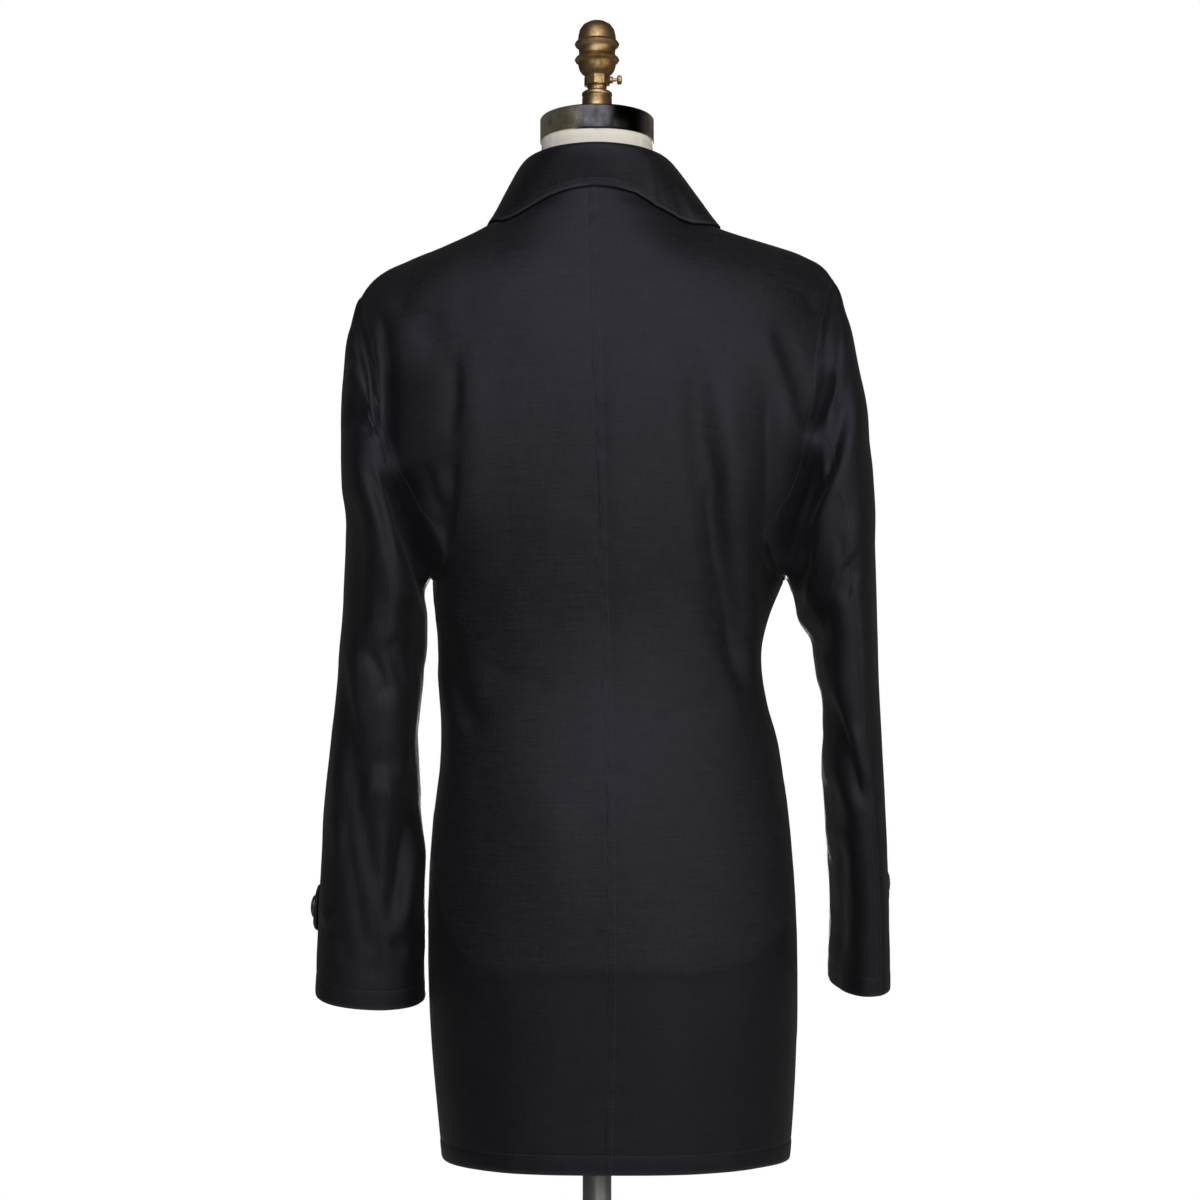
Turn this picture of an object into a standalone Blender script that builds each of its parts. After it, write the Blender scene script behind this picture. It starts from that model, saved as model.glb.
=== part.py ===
"""A wool overcoat worn by a limbless dress form on a floor stand.

Metres, +Z up. The coat's back faces -Y and its front +Y, so the wearer's left is -X. The origin is the
centre of the underside of the stand's base. Each cloth piece is a thin wall lofted through sections.
"""

import math
from collections import namedtuple

import bmesh
import bpy
import numpy as np
from mathutils import Vector
from mathutils.bvhtree import BVHTree

CLOTH = 0.0018  # thickness of the wool, with its lining
SEAM_GAP = 0.0003  # between two pieces at a seam
CLEAR = 0.0004  # between a piece and what it lies on
COLLAR_CLOTH = 0.0020  # two layers of wool
TAB_CLOTH = 0.003

COLUMNS = 13
COLLAR_COLUMNS = 41
SKIRT_ROWS = 13
YOKE_ROWS = 11
SLEEVE_ROWS = 17
NECK_SHARE = 0.3  # share of a quarter's top row that is neckline, the rest is shoulder seam
FRONT_OVERLAP = 0.026  # each front runs this far past the centre
UNDERLAP = 0.0030  # how far the left front lies inside the right one

SIDES = {"left": -1, "right": 1}
QUARTERS = [(side, face) for side in SIDES for face in ("back", "front")]

# Horizontal sections from hem to armpit: the centre seams' places, then the reach on each side.
Ring = namedtuple("Ring", "z back_x front_x left right back front full")
RINGS = [
    Ring(0.586, 0.0060, 0.006, 0.1345, 0.1668, 0.113, 0.118, 2.3),
    Ring(0.660, 0.0082, 0.006, 0.1412, 0.1728, 0.115, 0.120, 2.3),
    Ring(0.730, 0.0100, 0.006, 0.1462, 0.1750, 0.118, 0.121, 2.3),
    Ring(0.860, 0.0085, 0.005, 0.1450, 0.1690, 0.119, 0.118, 2.3),
    Ring(0.940, 0.0077, 0.004, 0.1366, 0.1590, 0.105, 0.111, 2.3),
    Ring(1.030, 0.0043, 0.003, 0.1390, 0.1430, 0.090, 0.110, 2.3),
    Ring(1.085, 0.0030, 0.002, 0.1430, 0.1630, 0.098, 0.123, 2.3),
]

# Sections above the armpit, from the centre seam (mid) to the armhole's edge on each side.
Yoke = namedtuple("Yoke", "mid_z mid_x mid_y left_x left_z right_x right_z edge_y")
BACK_YOKE = [
    Yoke(1.110, 0.0022, 0.104, 0.136, 1.093, 0.156, 1.092, 0.045),
    Yoke(1.140, 0.0015, 0.106, 0.131, 1.109, 0.145, 1.112, 0.070),
    Yoke(1.180, 0.0005, 0.107, 0.155, 1.147, 0.158, 1.140, 0.079),
    Yoke(1.225, -0.0010, 0.107, 0.174, 1.180, 0.175, 1.172, 0.080),
    Yoke(1.280, -0.0030, 0.103, 0.188, 1.235, 0.187, 1.235, 0.074),
    Yoke(1.340, -0.0050, 0.092, 0.196, 1.286, 0.194, 1.292, 0.055),
    Yoke(1.390, -0.0062, 0.077, 0.2030, 1.313, 0.201, 1.325, 0.030),
]
FRONT_YOKE = [
    Yoke(1.104, 0.0015, 0.128, 0.136, 1.093, 0.152, 1.094, 0.042),
    Yoke(1.130, 0.0010, 0.132, 0.132, 1.110, 0.147, 1.113, 0.066),
    Yoke(1.165, 0.0005, 0.135, 0.147, 1.145, 0.153, 1.141, 0.075),
    Yoke(1.200, 0.0, 0.133, 0.163, 1.180, 0.166, 1.175, 0.074),
    Yoke(1.240, 0.0, 0.127, 0.176, 1.230, 0.178, 1.231, 0.066),
    Yoke(1.280, 0.0, 0.117, 0.188, 1.277, 0.188, 1.284, 0.050),
    Yoke(1.320, 0.0, 0.103, 0.1990, 1.308, 0.198, 1.321, 0.026),
]

# The neckline from nape or front neck point to the neck's side, then the shoulder seam outwards.
NECK_SIDE = (0.070, -0.004, 1.407)
NAPE = (-0.0064, -0.066, 1.427)
THROAT = (0.0, 0.083, 1.354)
SHOULDER_Y = -0.006
SHOULDER = {
    "left": [(0.070, 1.407), (0.088, 1.394), (0.120, 1.381), (0.163, 1.3645), (0.193, 1.3470), (0.2053, 1.331)],
    "right": [(0.070, 1.407), (0.104, 1.392), (0.1366, 1.382), (0.180, 1.3665), (0.196, 1.3570), (0.2053, 1.345)],
}

# Large folds: a line through three heights, the reach to each side and the depth (below 0 is a trough).
Fold = namedtuple("Fold", "top_x top_z mid_x mid_z low_x low_z width depth")
BACK_FOLDS = [
    Fold(0.083, 1.300, 0.094, 1.150, 0.122, 0.985, 0.012, -0.006),
    Fold(0.108, 1.280, 0.117, 1.150, 0.134, 1.020, 0.014, 0.004),
    Fold(0.143, 1.290, 0.143, 1.170, 0.143, 1.045, 0.010, -0.004),
    Fold(-0.120, 1.300, -0.121, 1.190, -0.118, 1.090, 0.012, -0.005),
    Fold(-0.100, 1.290, -0.103, 1.190, -0.104, 1.060, 0.014, 0.003),
    Fold(0.060, 0.840, 0.064, 0.720, 0.070, 0.520, 0.030, 0.003),
    Fold(-0.075, 0.860, -0.080, 0.720, -0.085, 0.520, 0.030, 0.003),
]
FRONT_FOLDS = [
    Fold(0.115, 1.270, 0.116, 1.160, 0.112, 1.050, 0.013, -0.005),
    Fold(-0.108, 1.270, -0.112, 1.170, -0.108, 1.040, 0.013, -0.005),
    Fold(0.085, 0.860, 0.088, 0.720, 0.095, 0.520, 0.030, 0.003),
    Fold(-0.070, 0.850, -0.074, 0.720, -0.080, 0.520, 0.030, 0.003),
]

# Sections of a sleeve under its head: the outer and inner points, the reach in Y, the shift in X and the
# rise in Z for each metre towards the front.
Cuff = namedtuple("Cuff", "out_x out_z in_x in_z back front turn rise")
SLEEVES = {
    "left": [
        Cuff(0.2135, 1.308, 0.1490, 1.080, -0.080, 0.074, 0.0, 0.0),
        Cuff(0.2192, 1.260, 0.1475, 1.054, -0.083, 0.075, 0.0, 0.0),
        Cuff(0.2215, 1.200, 0.1475, 1.030, -0.083, 0.073, 0.0, 0.0),
        Cuff(0.2205, 1.130, 0.1505, 0.995, -0.080, 0.071, 0.0, 0.0),
        Cuff(0.2222, 1.045, 0.1538, 0.955, -0.076, 0.070, 0.0, 0.02),
        Cuff(0.2300, 0.970, 0.1540, 0.908, -0.069, 0.069, 0.0, 0.05),
        Cuff(0.2375, 0.893, 0.1515, 0.858, -0.060, 0.065, 0.0, 0.10),
        Cuff(0.2418, 0.812, 0.1495, 0.798, -0.050, 0.060, 0.0, 0.15),
        Cuff(0.2452, 0.7280, 0.1490, 0.7235, -0.040, 0.052, 0.0, 0.19),
    ],
    "right": [
        Cuff(0.2155, 1.320, 0.1685, 1.076, -0.080, 0.074, 0.0, 0.0),
        Cuff(0.2262, 1.277, 0.1740, 1.054, -0.085, 0.075, 0.0, 0.0),
        Cuff(0.2335, 1.212, 0.1870, 1.031, -0.086, 0.076, 0.0, 0.0),
        Cuff(0.2400, 1.138, 0.1925, 1.000, -0.084, 0.077, 0.0, 0.0),
        Cuff(0.2423, 1.055, 0.1948, 0.960, -0.080, 0.078, -0.02, 0.01),
        Cuff(0.2442, 0.970, 0.1975, 0.912, -0.075, 0.080, -0.04, 0.03),
        Cuff(0.2492, 0.893, 0.2020, 0.862, -0.067, 0.081, -0.07, 0.05),
        Cuff(0.2510, 0.815, 0.2060, 0.805, -0.057, 0.079, -0.10, 0.08),
        Cuff(0.2520, 0.7360, 0.2055, 0.7340, -0.045, 0.073, -0.13, 0.10),
    ],
}
SLEEVE_FULL = 2.25
SLEEVE_HEAD = (0.0, 0.007, 0.018, 0.034, 0.060)  # rows near the armhole, by the distance run from it
ARMPIT_TURN = (0.45, 0.0, 0.89)  # how a sleeve starts at the armpit: outwards, forwards, up
BACK_SEAM = 0.25  # share of the way round a sleeve, from its outer line towards the back
FRONT_SEAM = 0.68
TAB_HEIGHT = {"left": (0.776, 0.812), "right": (0.797, 0.833)}  # on the sleeve's outer line
TAB_REACH = (0.70, 0.99)  # share of the way round
TAB_BUTTON = {"left": 0.955, "right": 0.93}
TAB_BUTTON_RADIUS = 0.0105
TAB_BUTTON_THICK = 0.0045
FRONT_BUTTON_RADIUS = 0.0125
FRONT_BUTTON_THICK = 0.0045
FRONT_BUTTON_HEIGHTS = (1.270, 1.150, 1.030, 0.910)

# The collar from the centre back to the throat: its share of the neckline, fold and outer edge.
Station = namedtuple("Station", "share fold_x fold_y fold_z left_x right_x edge_y edge_z")
COLLAR = [
    Station(0.00, 0.0000, -0.0715, 1.4590, 0.000, 0.000, -0.0740, 1.4235),
    Station(0.27, 0.0420, -0.0540, 1.4555, 0.052, 0.060, -0.0610, 1.4130),
    Station(0.53, 0.0610, -0.0060, 1.4466, 0.0875, 0.1015, -0.0260, 1.3885),
    Station(0.78, 0.0500, 0.0500, 1.4230, 0.085, 0.094, 0.0700, 1.3600),
    Station(1.00, 0.0060, 0.0850, 1.3900, 0.042, 0.046, 0.1100, 1.3200),
]
NAPE_WAY = (1, 0, 0, 1, 1, 0, 0)  # at the nape the collar runs square to the centre plane
COLLAR_GAP = 0.0032  # between its outer edge and the cloth under it
BODY_MIDDLE = (0.0, 0.0, 1.2)
COLLAR_STEPS = (0.0, 0.3, 0.6, 0.85, 1.0, 1.12, 1.3, 1.6, 2.0)  # 0 seam, 1 fold, 2 outer edge
FOLD_ROUND = 0.034  # how widely the collar turns over
STAND_LIFT = 0.0008  # its stand above the neckline's edge
NECKLINE = (("front", "left", True), ("back", "left", False), ("back", "right", True), ("front", "right", False))

# The dress form's torso, neck included: height and reaches.
Torso = namedtuple("Torso", "z left right back front")
TORSO = [
    Torso(0.757, 0.1260, 0.1500, 0.1020, 0.1030),
    Torso(0.765, 0.1290, 0.1530, 0.1050, 0.1060),
    Torso(0.860, 0.1290, 0.1510, 0.1050, 0.1040),
    Torso(0.940, 0.1210, 0.1420, 0.0920, 0.0980),
    Torso(1.030, 0.1180, 0.1240, 0.0760, 0.0950),
    Torso(1.100, 0.1180, 0.1280, 0.0840, 0.1080),
    Torso(1.180, 0.1220, 0.1300, 0.0900, 0.1160),
    Torso(1.250, 0.1400, 0.1440, 0.0880, 0.1090),
    Torso(1.310, 0.1560, 0.1600, 0.0750, 0.0920),
    Torso(1.340, 0.1420, 0.1520, 0.0640, 0.0660),
    Torso(1.365, 0.1080, 0.1180, 0.0540, 0.0490),
    Torso(1.385, 0.0700, 0.0760, 0.0510, 0.0450),
    Torso(1.405, 0.0560, 0.0570, 0.0495, 0.0450),
    Torso(1.430, 0.0510, 0.0515, 0.0482, 0.0460),
    Torso(1.466, 0.0480, 0.0480, 0.0475, 0.0475),
]
TORSO_SIDES = 32
NECK_TILT = math.radians(9)  # the neck's top leans forward
NECK_TOP_Z = 1.4665

# Turned profiles, (radius, height) up from the piece's foot.
RING = [(0.0490, 0.0), (0.0495, 0.0006), (0.0495, 0.0203), (0.0485, 0.0216), (0.0300, 0.0231), (0.0, 0.0231)]
FINIAL = [
    (0.0130, 0.0000), (0.0130, 0.0212), (0.0105, 0.0234), (0.0082, 0.0240), (0.0082, 0.0272), (0.0108, 0.0284),
    (0.0108, 0.0368), (0.0148, 0.0415), (0.0163, 0.0454), (0.0168, 0.0484), (0.0186, 0.0498), (0.0195, 0.0515),
    (0.0186, 0.0532), (0.0165, 0.0550), (0.0158, 0.0588), (0.0166, 0.0622), (0.0188, 0.0640), (0.0195, 0.0657),
    (0.0186, 0.0674), (0.0168, 0.0692), (0.0164, 0.0728), (0.0152, 0.0785), (0.0122, 0.0830), (0.0075, 0.0858),
    (0.0, 0.0868),
]
THUMBSCREW = [
    (0.0032, 0.0), (0.0032, 0.0024), (0.0016, 0.0026), (0.0016, 0.0064),
    (0.0034, 0.0066), (0.0042, 0.0084), (0.0034, 0.0104), (0.0, 0.0108),
]
THUMBSCREW_HEIGHT = 0.0336  # up the finial
FINIAL_STEM_RADIUS = 0.0108
POLE_RADIUS = 0.0125
BASE = [
    (0.180, 0.0), (0.180, 0.007), (0.177, 0.010), (0.060, 0.016),
    (0.030, 0.019), (0.022, 0.024), (0.020, 0.045), (0.0, 0.045),
]
ROUND_STEPS = 32
FINIAL_STEPS = 24
BUTTON_STEPS = 18
BUTTON_CLEAR = 0.0010  # between a flat button and the curved cloth under it

WOOL = ((0.014, 0.014, 0.020), 0.0, 0.62)
LINEN = ((0.78, 0.73, 0.62), 0.0, 0.85)
BRASS = ((0.45, 0.34, 0.17), 1.0, 0.38)
CHROME = ((0.72, 0.72, 0.74), 1.0, 0.12)
STEEL = ((0.30, 0.30, 0.31), 1.0, 0.35)
HORN = ((0.055, 0.032, 0.018), 0.0, 0.30)


def clear_scene():
    for obj in list(bpy.data.objects):
        bpy.data.objects.remove(obj)


def surface_material(name, finish):
    colour, metallic, roughness = finish
    material = bpy.data.materials.new(name)
    material.use_nodes = True
    shader = material.node_tree.nodes["Principled BSDF"]
    shader.inputs["Base Color"].default_value = (*colour, 1.0)
    shader.inputs["Metallic"].default_value = metallic
    shader.inputs["Roughness"].default_value = roughness
    return material


def add_mesh(collection, name, points, faces, material):
    """A named object of this mesh, with all its faces turned outwards."""
    mesh = bpy.data.meshes.new(name)
    mesh.from_pydata([tuple(point) for point in points], [], faces)
    shape = bmesh.new()
    shape.from_mesh(mesh)
    bmesh.ops.recalc_face_normals(shape, faces=shape.faces)
    shape.to_mesh(mesh)
    shape.free()
    mesh.materials.append(material)
    mesh.shade_smooth()
    mesh.set_sharp_from_angle(angle=math.radians(50))
    obj = bpy.data.objects.new(name, mesh)
    collection.objects.link(obj)
    return obj


# ---------------------------------------------------------------- curves and surfaces


def curve_through(points, knots, at, start=None, end=None):
    """The smooth curve that meets the points at the knots, read at other places; ends may be steered."""
    points = np.asarray(points, float)
    knots = np.asarray(knots, float)
    slopes = np.gradient(points, knots, axis=0)
    if start is not None:
        slopes[0] = start
    if end is not None:
        slopes[-1] = end
    at = np.clip(np.asarray(at, float), knots[0], knots[-1])
    low = np.clip(np.searchsorted(knots, at, side="right") - 1, 0, len(knots) - 2)
    shape = (-1,) + (1,) * (points.ndim - 1)
    step = (knots[low + 1] - knots[low]).reshape(shape)
    t = (at - knots[low]).reshape(shape) / step
    return (
        (2 * t**3 - 3 * t**2 + 1) * points[low]
        + (t**3 - 2 * t**2 + t) * step * slopes[low]
        + (3 * t**2 - 2 * t**3) * points[low + 1]
        + (t**3 - t**2) * step * slopes[low + 1]
    )


def lengths_along(points):
    """Mean distance run along the first axis of a grid of points."""
    steps = np.linalg.norm(np.diff(points, axis=0), axis=-1)
    return np.concatenate([[0.0], np.cumsum(steps.reshape(len(steps), -1).mean(axis=1))])


def signed_power(value, power):
    return np.sign(value) * np.abs(value) ** power


def smooth_step(value):
    value = np.clip(value, 0.0, 1.0)
    return value * value * (3 - 2 * value)


def unit(vectors):
    return vectors / np.maximum(np.linalg.norm(vectors, axis=-1, keepdims=True), 1e-12)


def arc(u, mid, edge, full):
    """A rounded section from its mid point to its edge point, square to the centre plane at the mid."""
    depth = abs(edge[1] / mid[1])
    wide = abs(edge[0] - mid[0]) / (1 - depth**full) ** (1 / full)
    last = math.asin(min(1.0, (abs(edge[0] - mid[0]) / wide) ** (full / 2)))
    across = wide * signed_power(np.sin(u * last), 2 / full) * np.sign(edge[0] - mid[0])
    y = mid[1] * np.cos(u * last) ** (2 / full)
    z = mid[2] + (edge[2] - mid[2]) * np.abs(u) ** 1.6
    return np.stack([mid[0] + across, y, z], axis=-1)


def top_row(u, side, face):
    """The neckline, then the shoulder seam."""
    sign = SIDES[side]
    mid = NAPE if face == "back" else THROAT
    turn = np.clip(u / NECK_SHARE, -1, 1) * math.pi / 2
    neck_side = np.array([sign * NECK_SIDE[0], NECK_SIDE[1], NECK_SIDE[2]])
    neck = np.stack(
        [
            mid[0] + (neck_side[0] - mid[0]) * np.sin(turn),
            neck_side[1] + (mid[1] - neck_side[1]) * np.cos(turn),
            neck_side[2] + (mid[2] - neck_side[2]) * np.cos(turn) ** 1.5,
        ],
        axis=-1,
    )
    seam = np.array(SHOULDER[side])
    knots = (seam[:, 0] - seam[0, 0]) / (seam[-1, 0] - seam[0, 0])
    reach = curve_through(seam, knots, (u - NECK_SHARE) / (1 - NECK_SHARE))
    depth = NECK_SIDE[1] + (SHOULDER_Y - NECK_SIDE[1]) * np.clip(u, 0, 1)
    shoulder = np.stack([sign * reach[:, 0], depth, reach[:, 1]], axis=-1)
    return np.where((u > NECK_SHARE)[:, None], shoulder, neck)


def quarter_rows(side, face, u):
    """Sections of one quarter of the body from hem to neckline and shoulder: (rows, columns, 3)."""
    sign = SIDES[side]
    rows = []
    for ring in RINGS:
        mid_x = ring.back_x if face == "back" else ring.front_x
        mid_y = -ring.back if face == "back" else ring.front
        reach = ring.left if side == "left" else ring.right
        rows.append(arc(u, (mid_x, mid_y, ring.z), (sign * reach, 0.0, ring.z), ring.full))
    facing = -1 if face == "back" else 1
    for yoke in BACK_YOKE if face == "back" else FRONT_YOKE:
        edge_x, edge_z = (yoke.left_x, yoke.left_z) if side == "left" else (yoke.right_x, yoke.right_z)
        mid = (yoke.mid_x, facing * yoke.mid_y, yoke.mid_z)
        rows.append(arc(u, mid, (sign * edge_x, facing * yoke.edge_y, edge_z), 2.3))
    rows.append(top_row(u, side, face))
    return np.array(rows)


def quarter_end(side, face, u):
    """Directions in which a quarter meets its top row: up the neck, or over the shoulder."""
    facing = -1 if face == "back" else 1
    over = smooth_step((np.abs(u) - NECK_SHARE * 0.7) / (NECK_SHARE * 0.6))
    up_neck = np.stack([0 * u, 0 * u - facing * 0.25, 0 * u + 0.95], axis=-1)
    over_shoulder = np.stack([-SIDES[side] * 0.1 + 0 * u, 0 * u - facing * 0.99, 0.1 + 0 * u], axis=-1)
    return up_neck * (1 - over[:, None]) + over_shoulder * over[:, None]


def fold_depth(points, folds):
    """How far the large folds move these points along their normals."""
    x, z = points[..., 0], points[..., 2]
    move = np.zeros(x.shape)
    for fold in folds:
        t = (z - fold.top_z) / (fold.low_z - fold.top_z)
        middle = (fold.mid_z - fold.top_z) / (fold.low_z - fold.top_z)
        bend = (fold.mid_x - fold.top_x - (fold.low_x - fold.top_x) * middle) / (middle * (middle - 1))
        line = fold.top_x + (fold.low_x - fold.top_x) * t + bend * t * (t - 1)
        fade = smooth_step(t / 0.3) * smooth_step((1 - t) / 0.3)
        move += fold.depth * fade * np.exp(-(((x - line) / fold.width) ** 2))
    return move


def grid_normals(points, outward):
    """Unit normals of a grid, on the side that `outward` mostly points to."""
    normals = unit(np.cross(np.gradient(points, axis=0), np.gradient(points, axis=1)))
    return normals if (normals * outward).sum() > 0 else -normals


def quarter_surface(side, face, u, skirt_rows, yoke_rows):
    """One quarter of the body, folds included: rows from the hem up, columns from the centre out."""
    rows = quarter_rows(side, face, u)
    skirt, yoke = rows[: len(RINGS)], rows[len(RINGS) - 1 :]
    knots = np.array([ring.z - RINGS[0].z for ring in RINGS])
    at_armpit = (skirt[-1] - skirt[-2]) / (knots[-1] - knots[-2])
    lower = curve_through(skirt, knots, np.linspace(0, knots[-1], skirt_rows + 1), end=at_armpit)
    rows = [quarter_rows(*quarter, neck_columns(COLUMNS))[len(RINGS) - 1 :] for quarter in QUARTERS]
    knots = lengths_along(np.concatenate(rows, axis=1))
    natural = (yoke[1] - yoke[0]) / knots[1]
    at_edge = np.abs(u[:, None]) ** 6
    start = at_armpit * (1 - at_edge) + natural * at_edge
    heights = np.linspace(0, knots[-1], yoke_rows + 1)[1:]
    upper = curve_through(yoke, knots, heights, start=start, end=quarter_end(side, face, u))
    points = np.concatenate([lower, upper])
    normals = grid_normals(points, points * (1, 1, 0))
    points = points + normals * fold_depth(points, BACK_FOLDS if face == "back" else FRONT_FOLDS)[..., None]
    return points


def front_columns(count, overlap):
    """Columns of a front: across the overlap, one on the centre, then out to the armhole."""
    return np.concatenate([[-overlap, -overlap / 2], neck_columns(count)])


def neck_columns(count):
    """Columns from the centre to the armhole, with one where the neckline ends."""
    neck = max(3, round(count * NECK_SHARE))
    return np.concatenate(
        [np.linspace(0, NECK_SHARE, neck + 1), np.linspace(NECK_SHARE, 1, count - neck + 1)[1:]]
    )


# ---------------------------------------------------------------- cloth walls


class Panel:
    """A cloth piece: a grid of outer points and the normals along which its wall goes inwards."""

    def __init__(self, points, normals):
        self.points = points
        self.normals = normals

    def part(self, columns):
        return Panel(self.points[:, columns], self.normals[:, columns])

    def trimmed(self):
        """Outer points with every edge drawn back by half a seam gap, square to the edge."""
        points = self.points.copy()
        for axis in (0, 1):
            source, moved = np.swapaxes(self.points, 0, axis), np.swapaxes(points, 0, axis)
            for at, inside in ((0, 1), (-1, -2)):
                along = unit(np.gradient(source[at], axis=0))
                inwards = source[inside] - source[at]
                inwards = inwards - along * (inwards * along).sum(axis=-1, keepdims=True)
                moved[at] += unit(inwards) * SEAM_GAP / 2
        return points


def share_normals(panels):
    """Gives the pieces that meet at a seam one normal there, so that their edges lie face to face."""
    sums = {}
    for panel in panels:
        keys = np.round(panel.points.reshape(-1, 3), 5).tolist()
        for key, normal in zip(keys, panel.normals.reshape(-1, 3)):
            sums[tuple(key)] = sums.get(tuple(key), 0) + normal
    for panel in panels:
        keys = np.round(panel.points.reshape(-1, 3), 5).tolist()
        shared = np.array([sums[tuple(key)] for key in keys])
        panel.normals = unit(shared).reshape(panel.normals.shape)


def halves(points, ring):
    """A cell's two triangles, cut along its shorter diagonal."""
    a, b, c, d = (points[place] for place in ring)
    if np.linalg.norm(a - c) > np.linalg.norm(b - d):
        ring = ring[1:] + ring[:1]
    return [ring[:3], [ring[0], ring[2], ring[3]]]


def wall_faces(points, rows, columns):
    """Faces of a wall whose outer grid of points is followed by an inner one. Both sides of a cell are cut
    alike, so that the wall keeps its thickness in a fold."""
    offset = rows * columns
    at = np.arange(offset).reshape(rows, columns)
    faces = []
    for r in range(rows - 1):
        for c in range(columns - 1):
            ring = [int(at[r, c]), int(at[r, c + 1]), int(at[r + 1, c + 1]), int(at[r + 1, c])]
            for one, two, three in halves(points, ring):
                faces.append((one, two, three))
                faces.append((three + offset, two + offset, one + offset))
    rim = np.concatenate([at[0, :-1], at[:-1, -1], at[-1, :0:-1], at[:0:-1, 0]]).tolist()
    for here, there in zip(rim, rim[1:] + rim[:1]):
        faces += halves(points, [there, here, here + offset, there + offset])
    return faces


def cloth_wall(collection, name, panel, material, above=0.0, thick=CLOTH):
    """A wall whose outer side lies `above` the panel's points."""
    outer = panel.trimmed() + panel.normals * above
    inner = outer - panel.normals * thick
    points = np.concatenate([outer.reshape(-1, 3), inner.reshape(-1, 3)])
    return add_mesh(collection, name, points, wall_faces(points, *outer.shape[:2]), material)


def body_panels():
    """The two backs and the two fronts, keyed by (face, side)."""
    panels = {}
    for side in SIDES:
        back = quarter_surface(side, "back", neck_columns(COLUMNS), SKIRT_ROWS, YOKE_ROWS)
        overlap = FRONT_OVERLAP / RINGS[0].left * 0.5
        columns = front_columns(COLUMNS, overlap)
        front = quarter_surface(side, "front", columns, SKIRT_ROWS, YOKE_ROWS)
        if side == "left":
            normals = grid_normals(front, front * (1, 1, 0))
            front = front - normals * (UNDERLAP * smooth_step((0.28 - columns) / 0.2))[None, :, None]
        for face, points in (("back", back), ("front", front)):
            panels[face, side] = Panel(points, grid_normals(points, points * (1, 1, 0)))
    return panels


# ---------------------------------------------------------------- sleeves


def armhole_loop(panels, side):
    """Points round the armhole from the shoulder down the back, to the armpit and up the front, and the
    directions in which a sleeve leaves the body there."""
    loop, off = [], []
    for face in ("back", "front"):
        edge = panels[face, side].points[SKIRT_ROWS:, -1]
        run_off = unit(edge - panels[face, side].points[SKIRT_ROWS:, -2])
        near_armpit = smooth_step(1 - np.arange(len(edge)) / 3.0)[:, None]
        run_off = unit(run_off * (1 - near_armpit) + np.array(ARMPIT_TURN) * (SIDES[side], 1, 1) * near_armpit)
        loop.append(edge)
        off.append(run_off)
    return (np.concatenate([ends[0][::-1], ends[1][1:]]) for ends in (loop, off))


def cuff_section(section, around, side):
    """Points of one section of a sleeve; `around` runs from the outer line to the back, inside and front."""
    c = signed_power(np.cos(2 * math.pi * around), 2 / SLEEVE_FULL)
    s = signed_power(np.sin(2 * math.pi * around), 2 / SLEEVE_FULL)
    forward = -(section.front - section.back) / 2 * s
    x = (section.out_x + section.in_x) / 2 + (section.out_x - section.in_x) / 2 * c + section.turn * forward
    z = (section.out_z + section.in_z) / 2 + (section.out_z - section.in_z) / 2 * c + section.rise * forward
    return np.stack([SIDES[side] * x, (section.back + section.front) / 2 + forward, z], axis=-1)


def sleeve_panel(panels, side):
    """A whole sleeve from its armhole to its cuff, the share of the way round of each column, and the rows
    at which its tab starts and ends."""
    loop, off = armhole_loop(panels, side)
    run = lengths_along(loop[:, None])
    around = np.interp(run, [0, run[len(loop) // 2], run[-1]], [0, 0.5, 1])
    rows = np.array([loop] + [cuff_section(section, around, side) for section in SLEEVES[side]])
    knots = lengths_along(rows)
    low, high = (knots[-1] - (height - SLEEVES[side][-1].out_z) for height in TAB_HEIGHT[side])
    spaced = np.linspace(SLEEVE_HEAD[-1], high, SLEEVE_ROWS - len(SLEEVE_HEAD) - 1)[1:]
    at = np.concatenate([SLEEVE_HEAD, spaced, [low, (low + knots[-1]) / 2, knots[-1]]])
    points = curve_through(rows, knots, at, start=off)
    panel = Panel(points, grid_normals(points, points - points[:, :-1].mean(axis=1, keepdims=True)))
    panel.normals[:, 0] = panel.normals[:, -1] = unit(panel.normals[:, 0] + panel.normals[:, -1])
    return panel, around, (len(SLEEVE_HEAD) + len(spaced) - 1, len(SLEEVE_HEAD) + len(spaced))


def nearest(values, wanted):
    return int(np.abs(values - wanted).argmin())


def sleeve_pieces(panel, around):
    """The upper and the under sleeve, which meet at the back and the front seams."""
    back, front = nearest(around, BACK_SEAM), nearest(around, FRONT_SEAM)
    upper = list(range(front, len(around) - 1)) + list(range(back + 1))
    return {"sleeve_top": panel.part(upper), "sleeve_under": panel.part(list(range(back, front + 1)))}


# ---------------------------------------------------------------- collar


def laid_on(panels, points, clear):
    """These points, moved to lie this far off the nearest panel."""
    corners, cells = [], []
    for panel in panels:
        rows, columns = panel.points.shape[:2]
        at = len(corners) + np.arange(rows * columns).reshape(rows, columns)
        corners += panel.points.reshape(-1, 3).tolist()
        ring = (at[:-1, :-1], at[:-1, 1:], at[1:, 1:], at[1:, :-1])
        cells += np.stack(ring, axis=-1).reshape(-1, 4).tolist()
    tree = BVHTree.FromPolygons(corners, cells)
    laid = []
    for point in points:
        spot, normal = tree.find_nearest(Vector(point))[:2]
        outward = 1 if normal.dot(spot - Vector(BODY_MIDDLE)) > 0 else -1
        laid.append(spot + normal * (outward * clear))
    return np.array(laid)


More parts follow.
